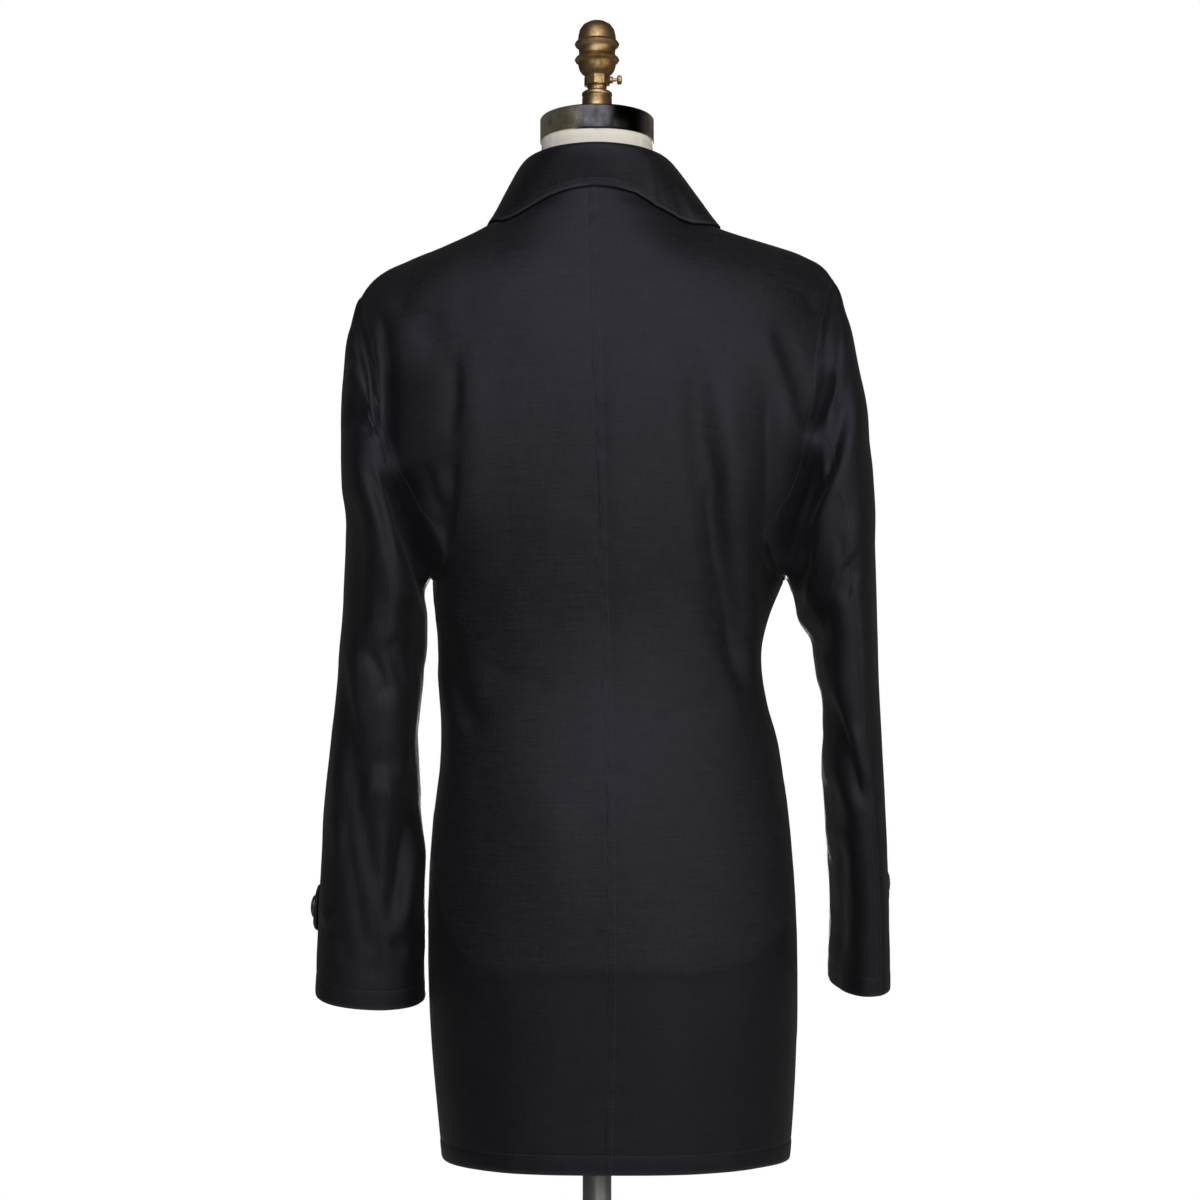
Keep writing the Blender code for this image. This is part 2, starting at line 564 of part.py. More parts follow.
def collar_panel(panels):
    """The collar, in rows from its seam up its stand, over its fold and down to its outer edge."""
    seam = []
    for face, side, outwards in NECKLINE:
        columns = neck_columns(COLUMNS)
        keep = np.flatnonzero(columns <= NECK_SHARE + 1e-9) + (0 if face == "back" else 2)
        keep = keep if outwards else keep[::-1]
        keep = keep[1:] if seam else keep  # a quarter starts where the last one ended
        seam.append(panels[face, side].points[-1, keep])
    seam = np.concatenate(seam)
    run = lengths_along(seam[:, None])
    nape = run[len(seam) // 2]
    half = COLLAR_COLUMNS // 2 + 1
    at = np.concatenate([np.linspace(0, nape, half), np.linspace(nape, run[-1], half)[1:]])
    seam = np.stack([np.interp(at, run, seam[:, axis]) for axis in range(3)], axis=-1)
    place = np.interp(at, [0, nape, run[-1]], [-1, 0, 1])
    stations = np.array([station[1:] for station in COLLAR])
    nape_way = (stations[1] - stations[0]) / COLLAR[1].share * NAPE_WAY
    guides = curve_through(stations, [station.share for station in COLLAR], np.abs(place), start=nape_way)
    fold_x, fold_y, fold_z, left_x, right_x, edge_y, edge_z = guides.T
    fold = np.stack([np.where(place < 0, -fold_x, fold_x), fold_y, fold_z], axis=-1)
    edge = np.stack([np.where(place < 0, -left_x, right_x), edge_y, edge_z], axis=-1)
    edge = laid_on(panels.values(), edge, COLLAR_CLOTH + COLLAR_GAP)
    out = unit((fold - (0, 0.01, 0)) * (1, 1, 0))
    start = seam - out * COLLAR_CLOTH + (0, 0, STAND_LIFT)
    rise = np.linalg.norm(fold - start, axis=1, keepdims=True)
    stand = (start, fold, rise * (0, 0, 1), out * FOLD_ROUND)
    fall = (fold, edge, out * FOLD_ROUND, (edge - fold) * 1.1)
    points = []
    for step in COLLAR_STEPS:
        ends = stand if step <= 1 else fall
        points.append(curve_through([ends[0], ends[1]], [0, 1], [step - (step > 1)], ends[2], ends[3])[0])
    points = np.array(points)
    outward = np.zeros(points.shape)
    outward[-1] = out
    return Panel(points, grid_normals(points, outward))


# ---------------------------------------------------------------- hard pieces


def turned(collection, name, profile, material, steps=ROUND_STEPS):
    """A profile of (radius, height) points, up from its foot, turned about Z."""
    closed = [(0.0, profile[0][1])] + list(profile)
    mesh = bpy.data.meshes.new(name)
    edges = [(corner, corner + 1) for corner in range(len(closed) - 1)]
    mesh.from_pydata([(radius, 0.0, height) for radius, height in reversed(closed)], edges, [])
    mesh.materials.append(material)
    obj = bpy.data.objects.new(name, mesh)
    collection.objects.link(obj)
    screw = obj.modifiers.new("Turn", "SCREW")
    screw.steps = screw.render_steps = steps
    screw.use_merge_vertices = True
    screw.merge_threshold = 0.00001
    screw.use_smooth_shade = True
    return obj


def aim(obj, place, direction):
    """Stands a turned piece on a place with its axis along a direction."""
    obj.location = place
    obj.rotation_mode = "QUATERNION"
    obj.rotation_quaternion = Vector(direction).to_track_quat("Z", "Y")


# A button's profile in shares of its radius and thickness: a raised rim round a flat, sunk middle.
BUTTON_PROFILE = ((0.93, 0.0), (1.0, 0.3), (1.0, 0.8), (0.86, 1.0), (0.72, 0.8), (0.0, 0.8))


def button_profile(radius, thick):
    return [(radius * across, thick * up) for across, up in BUTTON_PROFILE]


def add_front_buttons(collection, panels, material):
    right = panels["front", "right"]
    column = right.points[:, 2]
    profile = button_profile(FRONT_BUTTON_RADIUS, FRONT_BUTTON_THICK)
    for number, height in enumerate(FRONT_BUTTON_HEIGHTS, start=1):
        row = nearest(column[:, 2], height)
        button = turned(collection, f"front_button_{number}", profile, material, BUTTON_STEPS)
        normal = right.normals[row, 2]
        aim(button, column[row] + normal * BUTTON_CLEAR, normal)


def add_tab(collection, side, sleeve, around, rows, materials):
    """The strap on the front of a cuff, with its button."""
    first, last = (nearest(around, share) for share in TAB_REACH)
    cut = np.s_[rows[0] : rows[1] + 1, first : last + 1]
    strap = Panel(sleeve.points[cut], sleeve.normals[cut])
    above = CLEAR + TAB_CLOTH
    cloth_wall(collection, f"cuff_tab_{side}", strap, materials["wool"], above=above, thick=TAB_CLOTH)
    column = nearest(around, TAB_BUTTON[side])
    place = sleeve.points[rows[0] : rows[1] + 1, column].mean(axis=0)
    normal = unit(sleeve.normals[rows[0] : rows[1] + 1, column].mean(axis=0))
    profile = button_profile(TAB_BUTTON_RADIUS, TAB_BUTTON_THICK)
    button = turned(collection, f"cuff_button_{side}", profile, materials["horn"], BUTTON_STEPS)
    aim(button, place + normal * (above + BUTTON_CLEAR), normal)


def add_torso(collection, material):
    """The form's smooth body and neck, closed at the bottom and at the leaning neck top."""
    turn = np.linspace(0, 2 * math.pi, TORSO_SIDES, endpoint=False)
    across, along = signed_power(np.cos(turn), 2 / 2.25), signed_power(np.sin(turn), 2 / 2.25)
    points = []
    for ring in TORSO:
        x = np.where(across < 0, ring.left, ring.right) * across
        y = np.where(along < 0, ring.back, ring.front) * along
        lean = smooth_step((ring.z - TORSO[-3].z) / (TORSO[-1].z - TORSO[-3].z))
        points.append(np.stack([x, y, ring.z - math.tan(NECK_TILT) * lean * y], axis=-1))
    at = np.arange(len(TORSO) * TORSO_SIDES).reshape(len(TORSO), TORSO_SIDES).tolist()
    faces = [tuple(at[0]), tuple(at[-1])]
    for low, high in zip(at, at[1:]):
        for side in range(TORSO_SIDES):
            after = (side + 1) % TORSO_SIDES
            faces.append((low[side], low[after], high[after], high[side]))
    return add_mesh(collection, "form_body", np.concatenate(points), faces, material)


def add_neck_top(collection, materials):
    """The neck's metal ring, the finial and its thumbscrew, on the leaning axis of the neck."""
    axis = Vector((0, math.sin(NECK_TILT), math.cos(NECK_TILT)))
    foot = Vector((0, 0, NECK_TOP_Z))
    ring = turned(collection, "neck_ring", RING, materials["chrome"])
    aim(ring, foot, axis)
    finial_foot = foot + axis * (RING[-1][1] + SEAM_GAP)
    finial = turned(collection, "finial", FINIAL, materials["brass"], FINIAL_STEPS)
    aim(finial, finial_foot, axis)
    screw = turned(collection, "thumbscrew", THUMBSCREW, materials["brass"], BUTTON_STEPS)
    side = Vector((1, 0, 0))
    aim(screw, finial_foot + axis * THUMBSCREW_HEIGHT + side * (FINIAL_STEM_RADIUS + SEAM_GAP), side)


def add_stand(collection, material):
    turned(collection, "base", BASE, material, 48)
    low, high = BASE[-1][1] + SEAM_GAP, TORSO[0].z - SEAM_GAP
    profile = [(POLE_RADIUS, 0.0), (POLE_RADIUS, high - low), (0.0, high - low)]
    pole = turned(collection, "pole", profile, material)
    pole.location.z = low


def build():
    clear_scene()
    collection = bpy.data.collections.new("wool_overcoat_on_dress_form")
    bpy.context.scene.collection.children.link(collection)
    finishes = {"wool": WOOL, "linen": LINEN, "brass": BRASS, "chrome": CHROME, "steel": STEEL, "horn": HORN}
    materials = {name: surface_material(name, finish) for name, finish in finishes.items()}

    panels = body_panels()
    sleeves = {side: sleeve_panel(panels, side) for side in SIDES}
    share_normals(list(panels.values()) + [sleeve for sleeve, _, _ in sleeves.values()])
    for (face, side), panel in panels.items():
        cloth_wall(collection, f"{face}_{side}", panel, materials["wool"])
    for side, (sleeve, around, tab_rows) in sleeves.items():
        for name, piece in sleeve_pieces(sleeve, around).items():
            cloth_wall(collection, f"{name}_{side}", piece, materials["wool"])
        add_tab(collection, side, sleeve, around, tab_rows, materials)
    cloth_wall(collection, "collar", collar_panel(panels), materials["wool"], thick=COLLAR_CLOTH)
    add_front_buttons(collection, panels, materials["horn"])
    add_torso(collection, materials["linen"])
    add_neck_top(collection, materials)
    add_stand(collection, materials["steel"])


build()
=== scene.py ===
"""The finish of a wool overcoat on a dress form, built round its fixed frame.

Metres, +Z up. The coat's back faces -Y, so the wearer's left is -X. Each cloth piece is a fine thin wall on
the same sections as its rigid stand-in, with its folds, puckers, seams and stitches added.
"""

import math
from collections import namedtuple

import bpy
import numpy as np
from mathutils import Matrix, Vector
from mathutils.bvhtree import BVHTree


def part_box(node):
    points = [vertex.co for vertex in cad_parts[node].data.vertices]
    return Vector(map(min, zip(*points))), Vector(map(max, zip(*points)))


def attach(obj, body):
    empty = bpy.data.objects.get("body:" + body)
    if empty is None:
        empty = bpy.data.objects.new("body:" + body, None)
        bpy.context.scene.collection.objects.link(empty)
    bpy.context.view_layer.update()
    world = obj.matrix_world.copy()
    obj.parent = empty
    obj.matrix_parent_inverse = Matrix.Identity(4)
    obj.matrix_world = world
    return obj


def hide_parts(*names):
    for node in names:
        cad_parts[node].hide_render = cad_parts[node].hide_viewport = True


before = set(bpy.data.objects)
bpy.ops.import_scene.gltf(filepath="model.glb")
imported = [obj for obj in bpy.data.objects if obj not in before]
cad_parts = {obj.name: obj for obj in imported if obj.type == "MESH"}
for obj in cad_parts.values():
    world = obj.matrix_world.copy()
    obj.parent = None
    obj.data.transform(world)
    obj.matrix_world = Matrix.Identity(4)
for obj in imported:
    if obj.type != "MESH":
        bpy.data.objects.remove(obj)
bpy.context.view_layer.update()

# ---------------------------------------------------------------- the garment's sizes

CLOTH = 0.0018
SEAM_GAP = 0.00008  # between the two pieces at a seam
CLEAR = 0.0004  # between a cuff and its strap
COLLAR_CLOTH = 0.0020
TAB_CLOTH = 0.003
NECK_SHARE = 0.3  # how much of a quarter's top row is neckline
FRONT_OVERLAP = 0.026  # width of the lap of the two fronts
UNDERLAP = 0.0030  # how deep the left front lies under the right one
COLUMNS = 13  # columns that the sections' spacing is measured on

SIDES = {"left": -1, "right": 1}
QUARTERS = [(side, face) for side in SIDES for face in ("back", "front")]

# Sections of the skirt and the waist: where their middles lie, how far they reach to each side, and how full
# they are (2 is an ellipse).
Ring = namedtuple("Ring", "z back_x front_x left right back front full")
RINGS = [
    Ring(0.586, 0.0060, 0.006, 0.1345, 0.1668, 0.113, 0.118, 2.3),
    Ring(0.660, 0.0082, 0.006, 0.1412, 0.1728, 0.115, 0.120, 2.3),
    Ring(0.730, 0.0100, 0.006, 0.1462, 0.1750, 0.118, 0.121, 2.3),
    Ring(0.860, 0.0085, 0.005, 0.1450, 0.1690, 0.119, 0.118, 2.3),
    Ring(0.940, 0.0077, 0.004, 0.1366, 0.1590, 0.105, 0.111, 2.3),
    Ring(1.030, 0.0043, 0.003, 0.1390, 0.1430, 0.090, 0.110, 2.3),
    Ring(1.085, 0.0030, 0.002, 0.1430, 0.1630, 0.098, 0.123, 2.3),
]

# Sections above the armpits, from their middle to the armholes.
Yoke = namedtuple("Yoke", "mid_z mid_x mid_y left_x left_z right_x right_z edge_y")
YOKE_FULL = 2.3
SECTION_BEND = 1.6  # above 1, a section stays level near its middle and bends towards its edge
BACK_YOKE = [
    Yoke(1.110, 0.0022, 0.104, 0.136, 1.093, 0.156, 1.092, 0.045),
    Yoke(1.140, 0.0015, 0.106, 0.131, 1.109, 0.145, 1.112, 0.070),
    Yoke(1.180, 0.0005, 0.107, 0.155, 1.147, 0.158, 1.140, 0.079),
    Yoke(1.225, -0.0010, 0.107, 0.174, 1.180, 0.175, 1.172, 0.080),
    Yoke(1.280, -0.0030, 0.103, 0.188, 1.235, 0.187, 1.235, 0.074),
    Yoke(1.340, -0.0050, 0.092, 0.196, 1.286, 0.194, 1.292, 0.055),
    Yoke(1.390, -0.0062, 0.077, 0.2030, 1.313, 0.201, 1.325, 0.030),
]
FRONT_YOKE = [
    Yoke(1.104, 0.0015, 0.128, 0.136, 1.093, 0.152, 1.094, 0.042),
    Yoke(1.130, 0.0010, 0.132, 0.132, 1.110, 0.147, 1.113, 0.066),
    Yoke(1.165, 0.0005, 0.135, 0.147, 1.145, 0.153, 1.141, 0.075),
    Yoke(1.200, 0.0, 0.133, 0.163, 1.180, 0.166, 1.175, 0.074),
    Yoke(1.240, 0.0, 0.127, 0.176, 1.230, 0.178, 1.231, 0.066),
    Yoke(1.280, 0.0, 0.117, 0.188, 1.277, 0.188, 1.284, 0.050),
    Yoke(1.320, 0.0, 0.103, 0.1990, 1.308, 0.198, 1.321, 0.026),
]

NECK_SIDE = (0.070, -0.004, 1.407)
NAPE = (-0.0064, -0.066, 1.427)
THROAT = (0.0, 0.083, 1.354)
NECK_BEND = 1.5
# Ways in which the cloth runs up the neck and over the shoulder: to the centre, to the other face, and up.
UP_NECK = (0.0, 0.25, 0.95)
OVER_SHOULDER = (0.1, 0.99, 0.1)
OVER_START, OVER_REACH = 0.7, 0.6  # where one way turns into the other, as shares of the neckline
# The shoulder seams, as distances from the centre plane and heights.
SHOULDER_Y = -0.006
SHOULDER = {
    "left": [
        (0.070, 1.407), (0.088, 1.394), (0.120, 1.381), (0.163, 1.3645), (0.193, 1.3470), (0.2053, 1.331),
    ],
    "right": [
        (0.070, 1.407), (0.104, 1.392), (0.1366, 1.382), (0.180, 1.3665), (0.196, 1.3570), (0.2053, 1.345),
    ],
}

# The large folds: three points of their line from the top down, and their width and height.
Fold = namedtuple("Fold", "top_x top_z mid_x mid_z low_x low_z width depth")
BACK_FOLDS = [
    Fold(0.083, 1.300, 0.094, 1.150, 0.122, 0.985, 0.012, -0.006),
    Fold(0.108, 1.280, 0.117, 1.150, 0.134, 1.020, 0.014, 0.004),
    Fold(0.143, 1.290, 0.143, 1.170, 0.143, 1.045, 0.010, -0.004),
    Fold(-0.120, 1.300, -0.121, 1.190, -0.118, 1.090, 0.012, -0.0015),
    Fold(-0.100, 1.290, -0.103, 1.190, -0.104, 1.060, 0.014, 0.0010),
    Fold(0.060, 0.840, 0.064, 0.720, 0.070, 0.520, 0.030, 0.003),
    Fold(-0.075, 0.860, -0.080, 0.720, -0.085, 0.520, 0.030, 0.003),
]
FRONT_FOLDS = [
    Fold(0.115, 1.270, 0.116, 1.160, 0.112, 1.050, 0.013, -0.005),
    Fold(-0.108, 1.270, -0.112, 1.170, -0.108, 1.040, 0.013, -0.005),
    Fold(0.085, 0.860, 0.088, 0.720, 0.095, 0.520, 0.030, 0.003),
    Fold(-0.070, 0.850, -0.074, 0.720, -0.080, 0.520, 0.030, 0.003),
]

# Sections of the sleeves: their outer and inner ends, their back and front, and how far their front is turned
# outwards and raised.
Cuff = namedtuple("Cuff", "out_x out_z in_x in_z back front turn rise")
SLEEVES = {
    "left": [
        Cuff(0.2135, 1.308, 0.1490, 1.080, -0.080, 0.074, 0.0, 0.0),
        Cuff(0.2192, 1.260, 0.1475, 1.054, -0.083, 0.075, 0.0, 0.0),
        Cuff(0.2215, 1.200, 0.1475, 1.030, -0.083, 0.073, 0.0, 0.0),
        Cuff(0.2205, 1.130, 0.1505, 0.995, -0.080, 0.071, 0.0, 0.0),
        Cuff(0.2222, 1.045, 0.1538, 0.955, -0.076, 0.070, 0.0, 0.02),
        Cuff(0.2300, 0.970, 0.1540, 0.908, -0.069, 0.069, 0.0, 0.05),
        Cuff(0.2375, 0.893, 0.1515, 0.858, -0.060, 0.065, 0.0, 0.10),
        Cuff(0.2418, 0.812, 0.1495, 0.798, -0.050, 0.060, 0.0, 0.15),
        Cuff(0.2452, 0.7280, 0.1490, 0.7235, -0.040, 0.052, 0.0, 0.19),
    ],
    "right": [
        Cuff(0.2155, 1.320, 0.1685, 1.076, -0.080, 0.074, 0.0, 0.0),
        Cuff(0.2262, 1.277, 0.1740, 1.054, -0.085, 0.075, 0.0, 0.0),
        Cuff(0.2335, 1.212, 0.1870, 1.031, -0.086, 0.076, 0.0, 0.0),
        Cuff(0.2400, 1.138, 0.1925, 1.000, -0.084, 0.077, 0.0, 0.0),
        Cuff(0.2423, 1.055, 0.1948, 0.960, -0.080, 0.078, -0.02, 0.01),
        Cuff(0.2442, 0.970, 0.1975, 0.912, -0.075, 0.080, -0.04, 0.03),
        Cuff(0.2492, 0.893, 0.2020, 0.862, -0.067, 0.081, -0.07, 0.05),
        Cuff(0.2510, 0.815, 0.2060, 0.805, -0.057, 0.079, -0.10, 0.08),
        Cuff(0.2520, 0.7360, 0.2055, 0.7340, -0.045, 0.073, -0.13, 0.10),
    ],
}
SLEEVE_FULL = 2.25
ARMPIT_TURN = (0.45, 0.0, 0.89)  # way in which a sleeve leaves the body at the armpit
SLEEVE_SEAMS = {"left": (0.2746, 0.6677), "right": (0.2425, 0.6979)}  # shares of the way round
TAB_HEIGHT = {"left": (0.776, 0.812), "right": (0.797, 0.833)}
TAB_REACH = {"left": (0.7152, 1.0), "right": (0.6979, 1.0)}
TAB_BUTTON = 0.9435
TAB_BUTTON_RADIUS = 0.0105
FRONT_BUTTON_RADIUS = 0.0125
BUTTON_THICK = 0.0045
FRONT_BUTTONS = 4

# Places along the collar from the nape to a front end: its fold, and its outer edge on each side.
Station = namedtuple("Station", "share fold_x fold_y fold_z left_x right_x edge_y edge_z")
COLLAR = [
    Station(0.00, 0.0000, -0.0715, 1.4590, 0.000, 0.000, -0.0740, 1.4235),
    Station(0.27, 0.0420, -0.0540, 1.4555, 0.052, 0.060, -0.0610, 1.4130),
    Station(0.53, 0.0610, -0.0060, 1.4466, 0.0875, 0.1015, -0.0260, 1.3885),
    Station(0.78, 0.0500, 0.0500, 1.4230, 0.085, 0.094, 0.0700, 1.3600),
    Station(1.00, 0.0060, 0.0850, 1.3900, 0.042, 0.046, 0.1100, 1.3200),
]
NAPE_WAY = (1, 0, 0, 1, 1, 0, 0)  # at the nape the collar runs square to the centre plane
COLLAR_GAP = 0.0012  # between its outer edge and the cloth under it
BODY_MIDDLE = (0.0, 0.0, 1.2)
FOLD_ROUND = 0.034
STAND_LIFT = 0.0008
# The quarters along the neckline, and whether each is passed from the centre outwards.
NECKLINE = (
    ("front", "left", True), ("back", "left", False), ("back", "right", True), ("front", "right", False),
)

Torso = namedtuple("Torso", "z left right back front")
TORSO = [
    Torso(0.757, 0.1260, 0.1500, 0.1020, 0.1030),
    Torso(0.765, 0.1290, 0.1530, 0.1050, 0.1060),
    Torso(0.860, 0.1290, 0.1510, 0.1050, 0.1040),
    Torso(0.940, 0.1210, 0.1420, 0.0920, 0.0980),
    Torso(1.030, 0.1180, 0.1240, 0.0760, 0.0950),
    Torso(1.100, 0.1180, 0.1280, 0.0840, 0.1080),
    Torso(1.180, 0.1220, 0.1300, 0.0900, 0.1160),
    Torso(1.250, 0.1400, 0.1440, 0.0880, 0.1090),
    Torso(1.310, 0.1560, 0.1600, 0.0750, 0.0920),
    Torso(1.340, 0.1420, 0.1520, 0.0640, 0.0660),
    Torso(1.365, 0.1080, 0.1180, 0.0540, 0.0490),
    Torso(1.385, 0.0700, 0.0760, 0.0510, 0.0450),
    Torso(1.405, 0.0560, 0.0570, 0.0495, 0.0450),
    Torso(1.430, 0.0510, 0.0515, 0.0482, 0.0460),
    Torso(1.466, 0.0480, 0.0480, 0.0475, 0.0475),
]
NECK_TILT = math.radians(9)
NECK_TOP_Z = 1.4665
NECK_AXIS = Vector((0, math.sin(NECK_TILT), math.cos(NECK_TILT)))

RING = [
    (0.0485, 0.0), (0.0492, 0.0003), (0.0495, 0.0010), (0.0495, 0.0199), (0.0492, 0.0207),
    (0.0485, 0.0214), (0.0460, 0.0221), (0.0300, 0.0228), (0.0, 0.0231),
]
FINIAL = [
    (0.0122, 0.0000), (0.0130, 0.0008), (0.0130, 0.0166), (0.0124, 0.0174), (0.0124, 0.0182),
    (0.0131, 0.0190), (0.0133, 0.0202), (0.0131, 0.0214), (0.0120, 0.0224), (0.0096, 0.0232),
    (0.0083, 0.0240), (0.0082, 0.0252), (0.0082, 0.0268), (0.0088, 0.0276), (0.0104, 0.0280),
    (0.0110, 0.0286), (0.0110, 0.0362), (0.0104, 0.0368), (0.0110, 0.0376), (0.0134, 0.0396),
    (0.0152, 0.0422), (0.0162, 0.0454), (0.0166, 0.0480), (0.0170, 0.0488), (0.0186, 0.0498),
    (0.0195, 0.0515), (0.0186, 0.0532), (0.0166, 0.0546), (0.0159, 0.0566), (0.0158, 0.0588),
    (0.0162, 0.0612), (0.0169, 0.0628), (0.0188, 0.0640), (0.0195, 0.0657), (0.0186, 0.0674),
    (0.0169, 0.0686), (0.0166, 0.0704), (0.0164, 0.0728), (0.0152, 0.0785), (0.0122, 0.0830),
    (0.0075, 0.0858), (0.0, 0.0868),
]
NUT = (0.0282, 0.0366)  # heights between which the finial is eight-sided
NUT_TURN = 0.18
NUT_ROUND = 1.04  # the profile's radius there, as a share of the distance to the nut's flat sides
THUMBSCREW = [
    (0.0030, 0.0), (0.0032, 0.0003), (0.0032, 0.0022), (0.0028, 0.0026), (0.0016, 0.0028),
    (0.0016, 0.0062), (0.0030, 0.0064), (0.0036, 0.0068), (0.0042, 0.0084), (0.0036, 0.0102),
    (0.0020, 0.0107), (0.0, 0.0108),
]
KNURL = (0.0065, 0.0103)  # heights between which the thumbscrew is ridged
KNURL_RIDGES, KNURL_DEPTH = 18, 0.035
THUMBSCREW_HEIGHT = 0.0336
FINIAL_STEM_RADIUS = 0.0108
POLE_RADIUS = 0.0125
POLE_BEVEL = 0.0006
BASE = [
    (0.1790, 0.0), (0.1800, 0.0010), (0.1800, 0.0066), (0.1792, 0.0086), (0.1770, 0.0098),
    (0.1200, 0.0132), (0.0600, 0.0160), (0.0400, 0.0174), (0.0300, 0.0190), (0.0240, 0.0216),
    (0.0214, 0.0250), (0.0203, 0.0330), (0.0200, 0.0430), (0.0190, 0.0450), (0.0, 0.0450),
]
CAD_GAP = 0.0003  # between the hard pieces

# ---------------------------------------------------------------- curves and surfaces


def curve_through(points, knots, at, start=None, end=None):
    """The smooth curve that meets the points at the knots, read at other places; ends may be steered."""
    points = np.asarray(points, float)
    knots = np.asarray(knots, float)
    slopes = np.gradient(points, knots, axis=0)
    if start is not None:
        slopes[0] = start
    if end is not None:
        slopes[-1] = end
    at = np.clip(np.asarray(at, float), knots[0], knots[-1])
    low = np.clip(np.searchsorted(knots, at, side="right") - 1, 0, len(knots) - 2)
    shape = (-1,) + (1,) * (points.ndim - 1)
    step = (knots[low + 1] - knots[low]).reshape(shape)
    t = (at - knots[low]).reshape(shape) / step
    return (
        (2 * t**3 - 3 * t**2 + 1) * points[low]
        + (t**3 - 2 * t**2 + t) * step * slopes[low]
        + (3 * t**2 - 2 * t**3) * points[low + 1]
        + (t**3 - t**2) * step * slopes[low + 1]
    )


def lengths_along(points):
    """Mean distance run along the first axis of a grid of points."""
    steps = np.linalg.norm(np.diff(points, axis=0), axis=-1)
    return np.concatenate([[0.0], np.cumsum(steps.reshape(len(steps), -1).mean(axis=1))])


def line_at(line, run, places):
    """Points of a line at these distances along it; `run` holds the distance of each of its own points."""
    return np.stack([np.interp(places, run, line[:, axis]) for axis in range(3)], axis=-1)


def runs_along(points, axis):
    """Distance run along an axis of a grid, for each point."""
    steps = np.linalg.norm(np.diff(points, axis=axis), axis=-1)
    return np.insert(np.cumsum(steps, axis=axis), 0, 0.0, axis=axis)


def signed_power(value, power):
    return np.sign(value) * np.abs(value) ** power


def smooth_step(value):
    value = np.clip(value, 0.0, 1.0)
    return value * value * (3 - 2 * value)


def unit(vectors):
    return vectors / np.maximum(np.linalg.norm(vectors, axis=-1, keepdims=True), 1e-12)


def bump_at(distance, reach):
    return np.exp(-((distance / reach) ** 2))


def grid_normals(points, outward):
    """Unit normals of a grid, on the side that `outward` mostly points to."""
    normals = unit(np.cross(np.gradient(points, axis=0), np.gradient(points, axis=1)))
    return normals if (normals * outward).sum() > 0 else -normals


NOISE_SIZE = 32
NOISE_SHIFT = 7.31  # keeps the coat's centre plane off the borders of the lumps


def soft_noise(points, scale, seed):
    """Smooth values from -1 to 1 in space; `scale` is the size of a lump along each axis."""
    table = np.random.RandomState(seed).rand(NOISE_SIZE, NOISE_SIZE, NOISE_SIZE) * 2 - 1
    place = points / np.asarray(scale) + NOISE_SHIFT
    cell = np.floor(place).astype(int)
    part = smooth_step(place - cell)
    total = 0
    for corner in np.ndindex(2, 2, 2):
        weight = np.prod(np.where(np.array(corner) == 1, part, 1 - part), axis=-1)
        where = (cell + corner) % NOISE_SIZE
        total = total + weight * table[where[..., 0], where[..., 1], where[..., 2]]
    return total


def arc(u, mid, edge, full):
    """A rounded section from its mid point to its edge point, square to the centre plane at the mid."""
    depth = abs(edge[1] / mid[1])
    wide = abs(edge[0] - mid[0]) / (1 - depth**full) ** (1 / full)
    last = math.asin(min(1.0, (abs(edge[0] - mid[0]) / wide) ** (full / 2)))
    across = wide * signed_power(np.sin(u * last), 2 / full) * np.sign(edge[0] - mid[0])
    y = mid[1] * np.cos(u * last) ** (2 / full)
    z = mid[2] + (edge[2] - mid[2]) * np.abs(u) ** SECTION_BEND
    return np.stack([mid[0] + across, y, z], axis=-1)


def top_row(u, side, face):
    """The neckline, then the shoulder seam."""
    sign = SIDES[side]
    mid = NAPE if face == "back" else THROAT
    turn = np.clip(u / NECK_SHARE, -1, 1) * math.pi / 2
    neck_side = np.array([sign * NECK_SIDE[0], NECK_SIDE[1], NECK_SIDE[2]])
    neck = np.stack(
        [
            mid[0] + (neck_side[0] - mid[0]) * np.sin(turn),
            neck_side[1] + (mid[1] - neck_side[1]) * np.cos(turn),
            neck_side[2] + (mid[2] - neck_side[2]) * np.cos(turn) ** NECK_BEND,
        ],
        axis=-1,
    )
    seam = np.array(SHOULDER[side])
    knots = (seam[:, 0] - seam[0, 0]) / (seam[-1, 0] - seam[0, 0])
    reach = curve_through(seam, knots, (u - NECK_SHARE) / (1 - NECK_SHARE))
    depth = NECK_SIDE[1] + (SHOULDER_Y - NECK_SIDE[1]) * np.clip(u, 0, 1)
    shoulder = np.stack([sign * reach[:, 0], depth, reach[:, 1]], axis=-1)
    return np.where((u > NECK_SHARE)[:, None], shoulder, neck)


def quarter_rows(side, face, u):
    """Sections of one quarter of the body from hem to neckline and shoulder."""
    sign = SIDES[side]
    facing = -1 if face == "back" else 1
    rows = []
    for ring in RINGS:
        mid_x = ring.back_x if face == "back" else ring.front_x
        mid_y = -ring.back if face == "back" else ring.front
        reach = ring.left if side == "left" else ring.right
        rows.append(arc(u, (mid_x, mid_y, ring.z), (sign * reach, 0.0, ring.z), ring.full))
    for yoke in BACK_YOKE if face == "back" else FRONT_YOKE:
        edge_x = yoke.left_x if side == "left" else yoke.right_x
        edge_z = yoke.left_z if side == "left" else yoke.right_z
        mid = (yoke.mid_x, facing * yoke.mid_y, yoke.mid_z)
        rows.append(arc(u, mid, (sign * edge_x, facing * yoke.edge_y, edge_z), YOKE_FULL))
    rows.append(top_row(u, side, face))
    return np.array(rows)


def quarter_end(side, face, u):
    """Directions in which a quarter meets its top row: up the neck, or over the shoulder."""
    away = 1 if face == "back" else -1
    over = smooth_step((np.abs(u) - NECK_SHARE * OVER_START) / (NECK_SHARE * OVER_REACH))[:, None]
    up_neck, over_shoulder = (np.array(way) * (-SIDES[side], away, 1) for way in (UP_NECK, OVER_SHOULDER))
    return up_neck * (1 - over) + over_shoulder * over


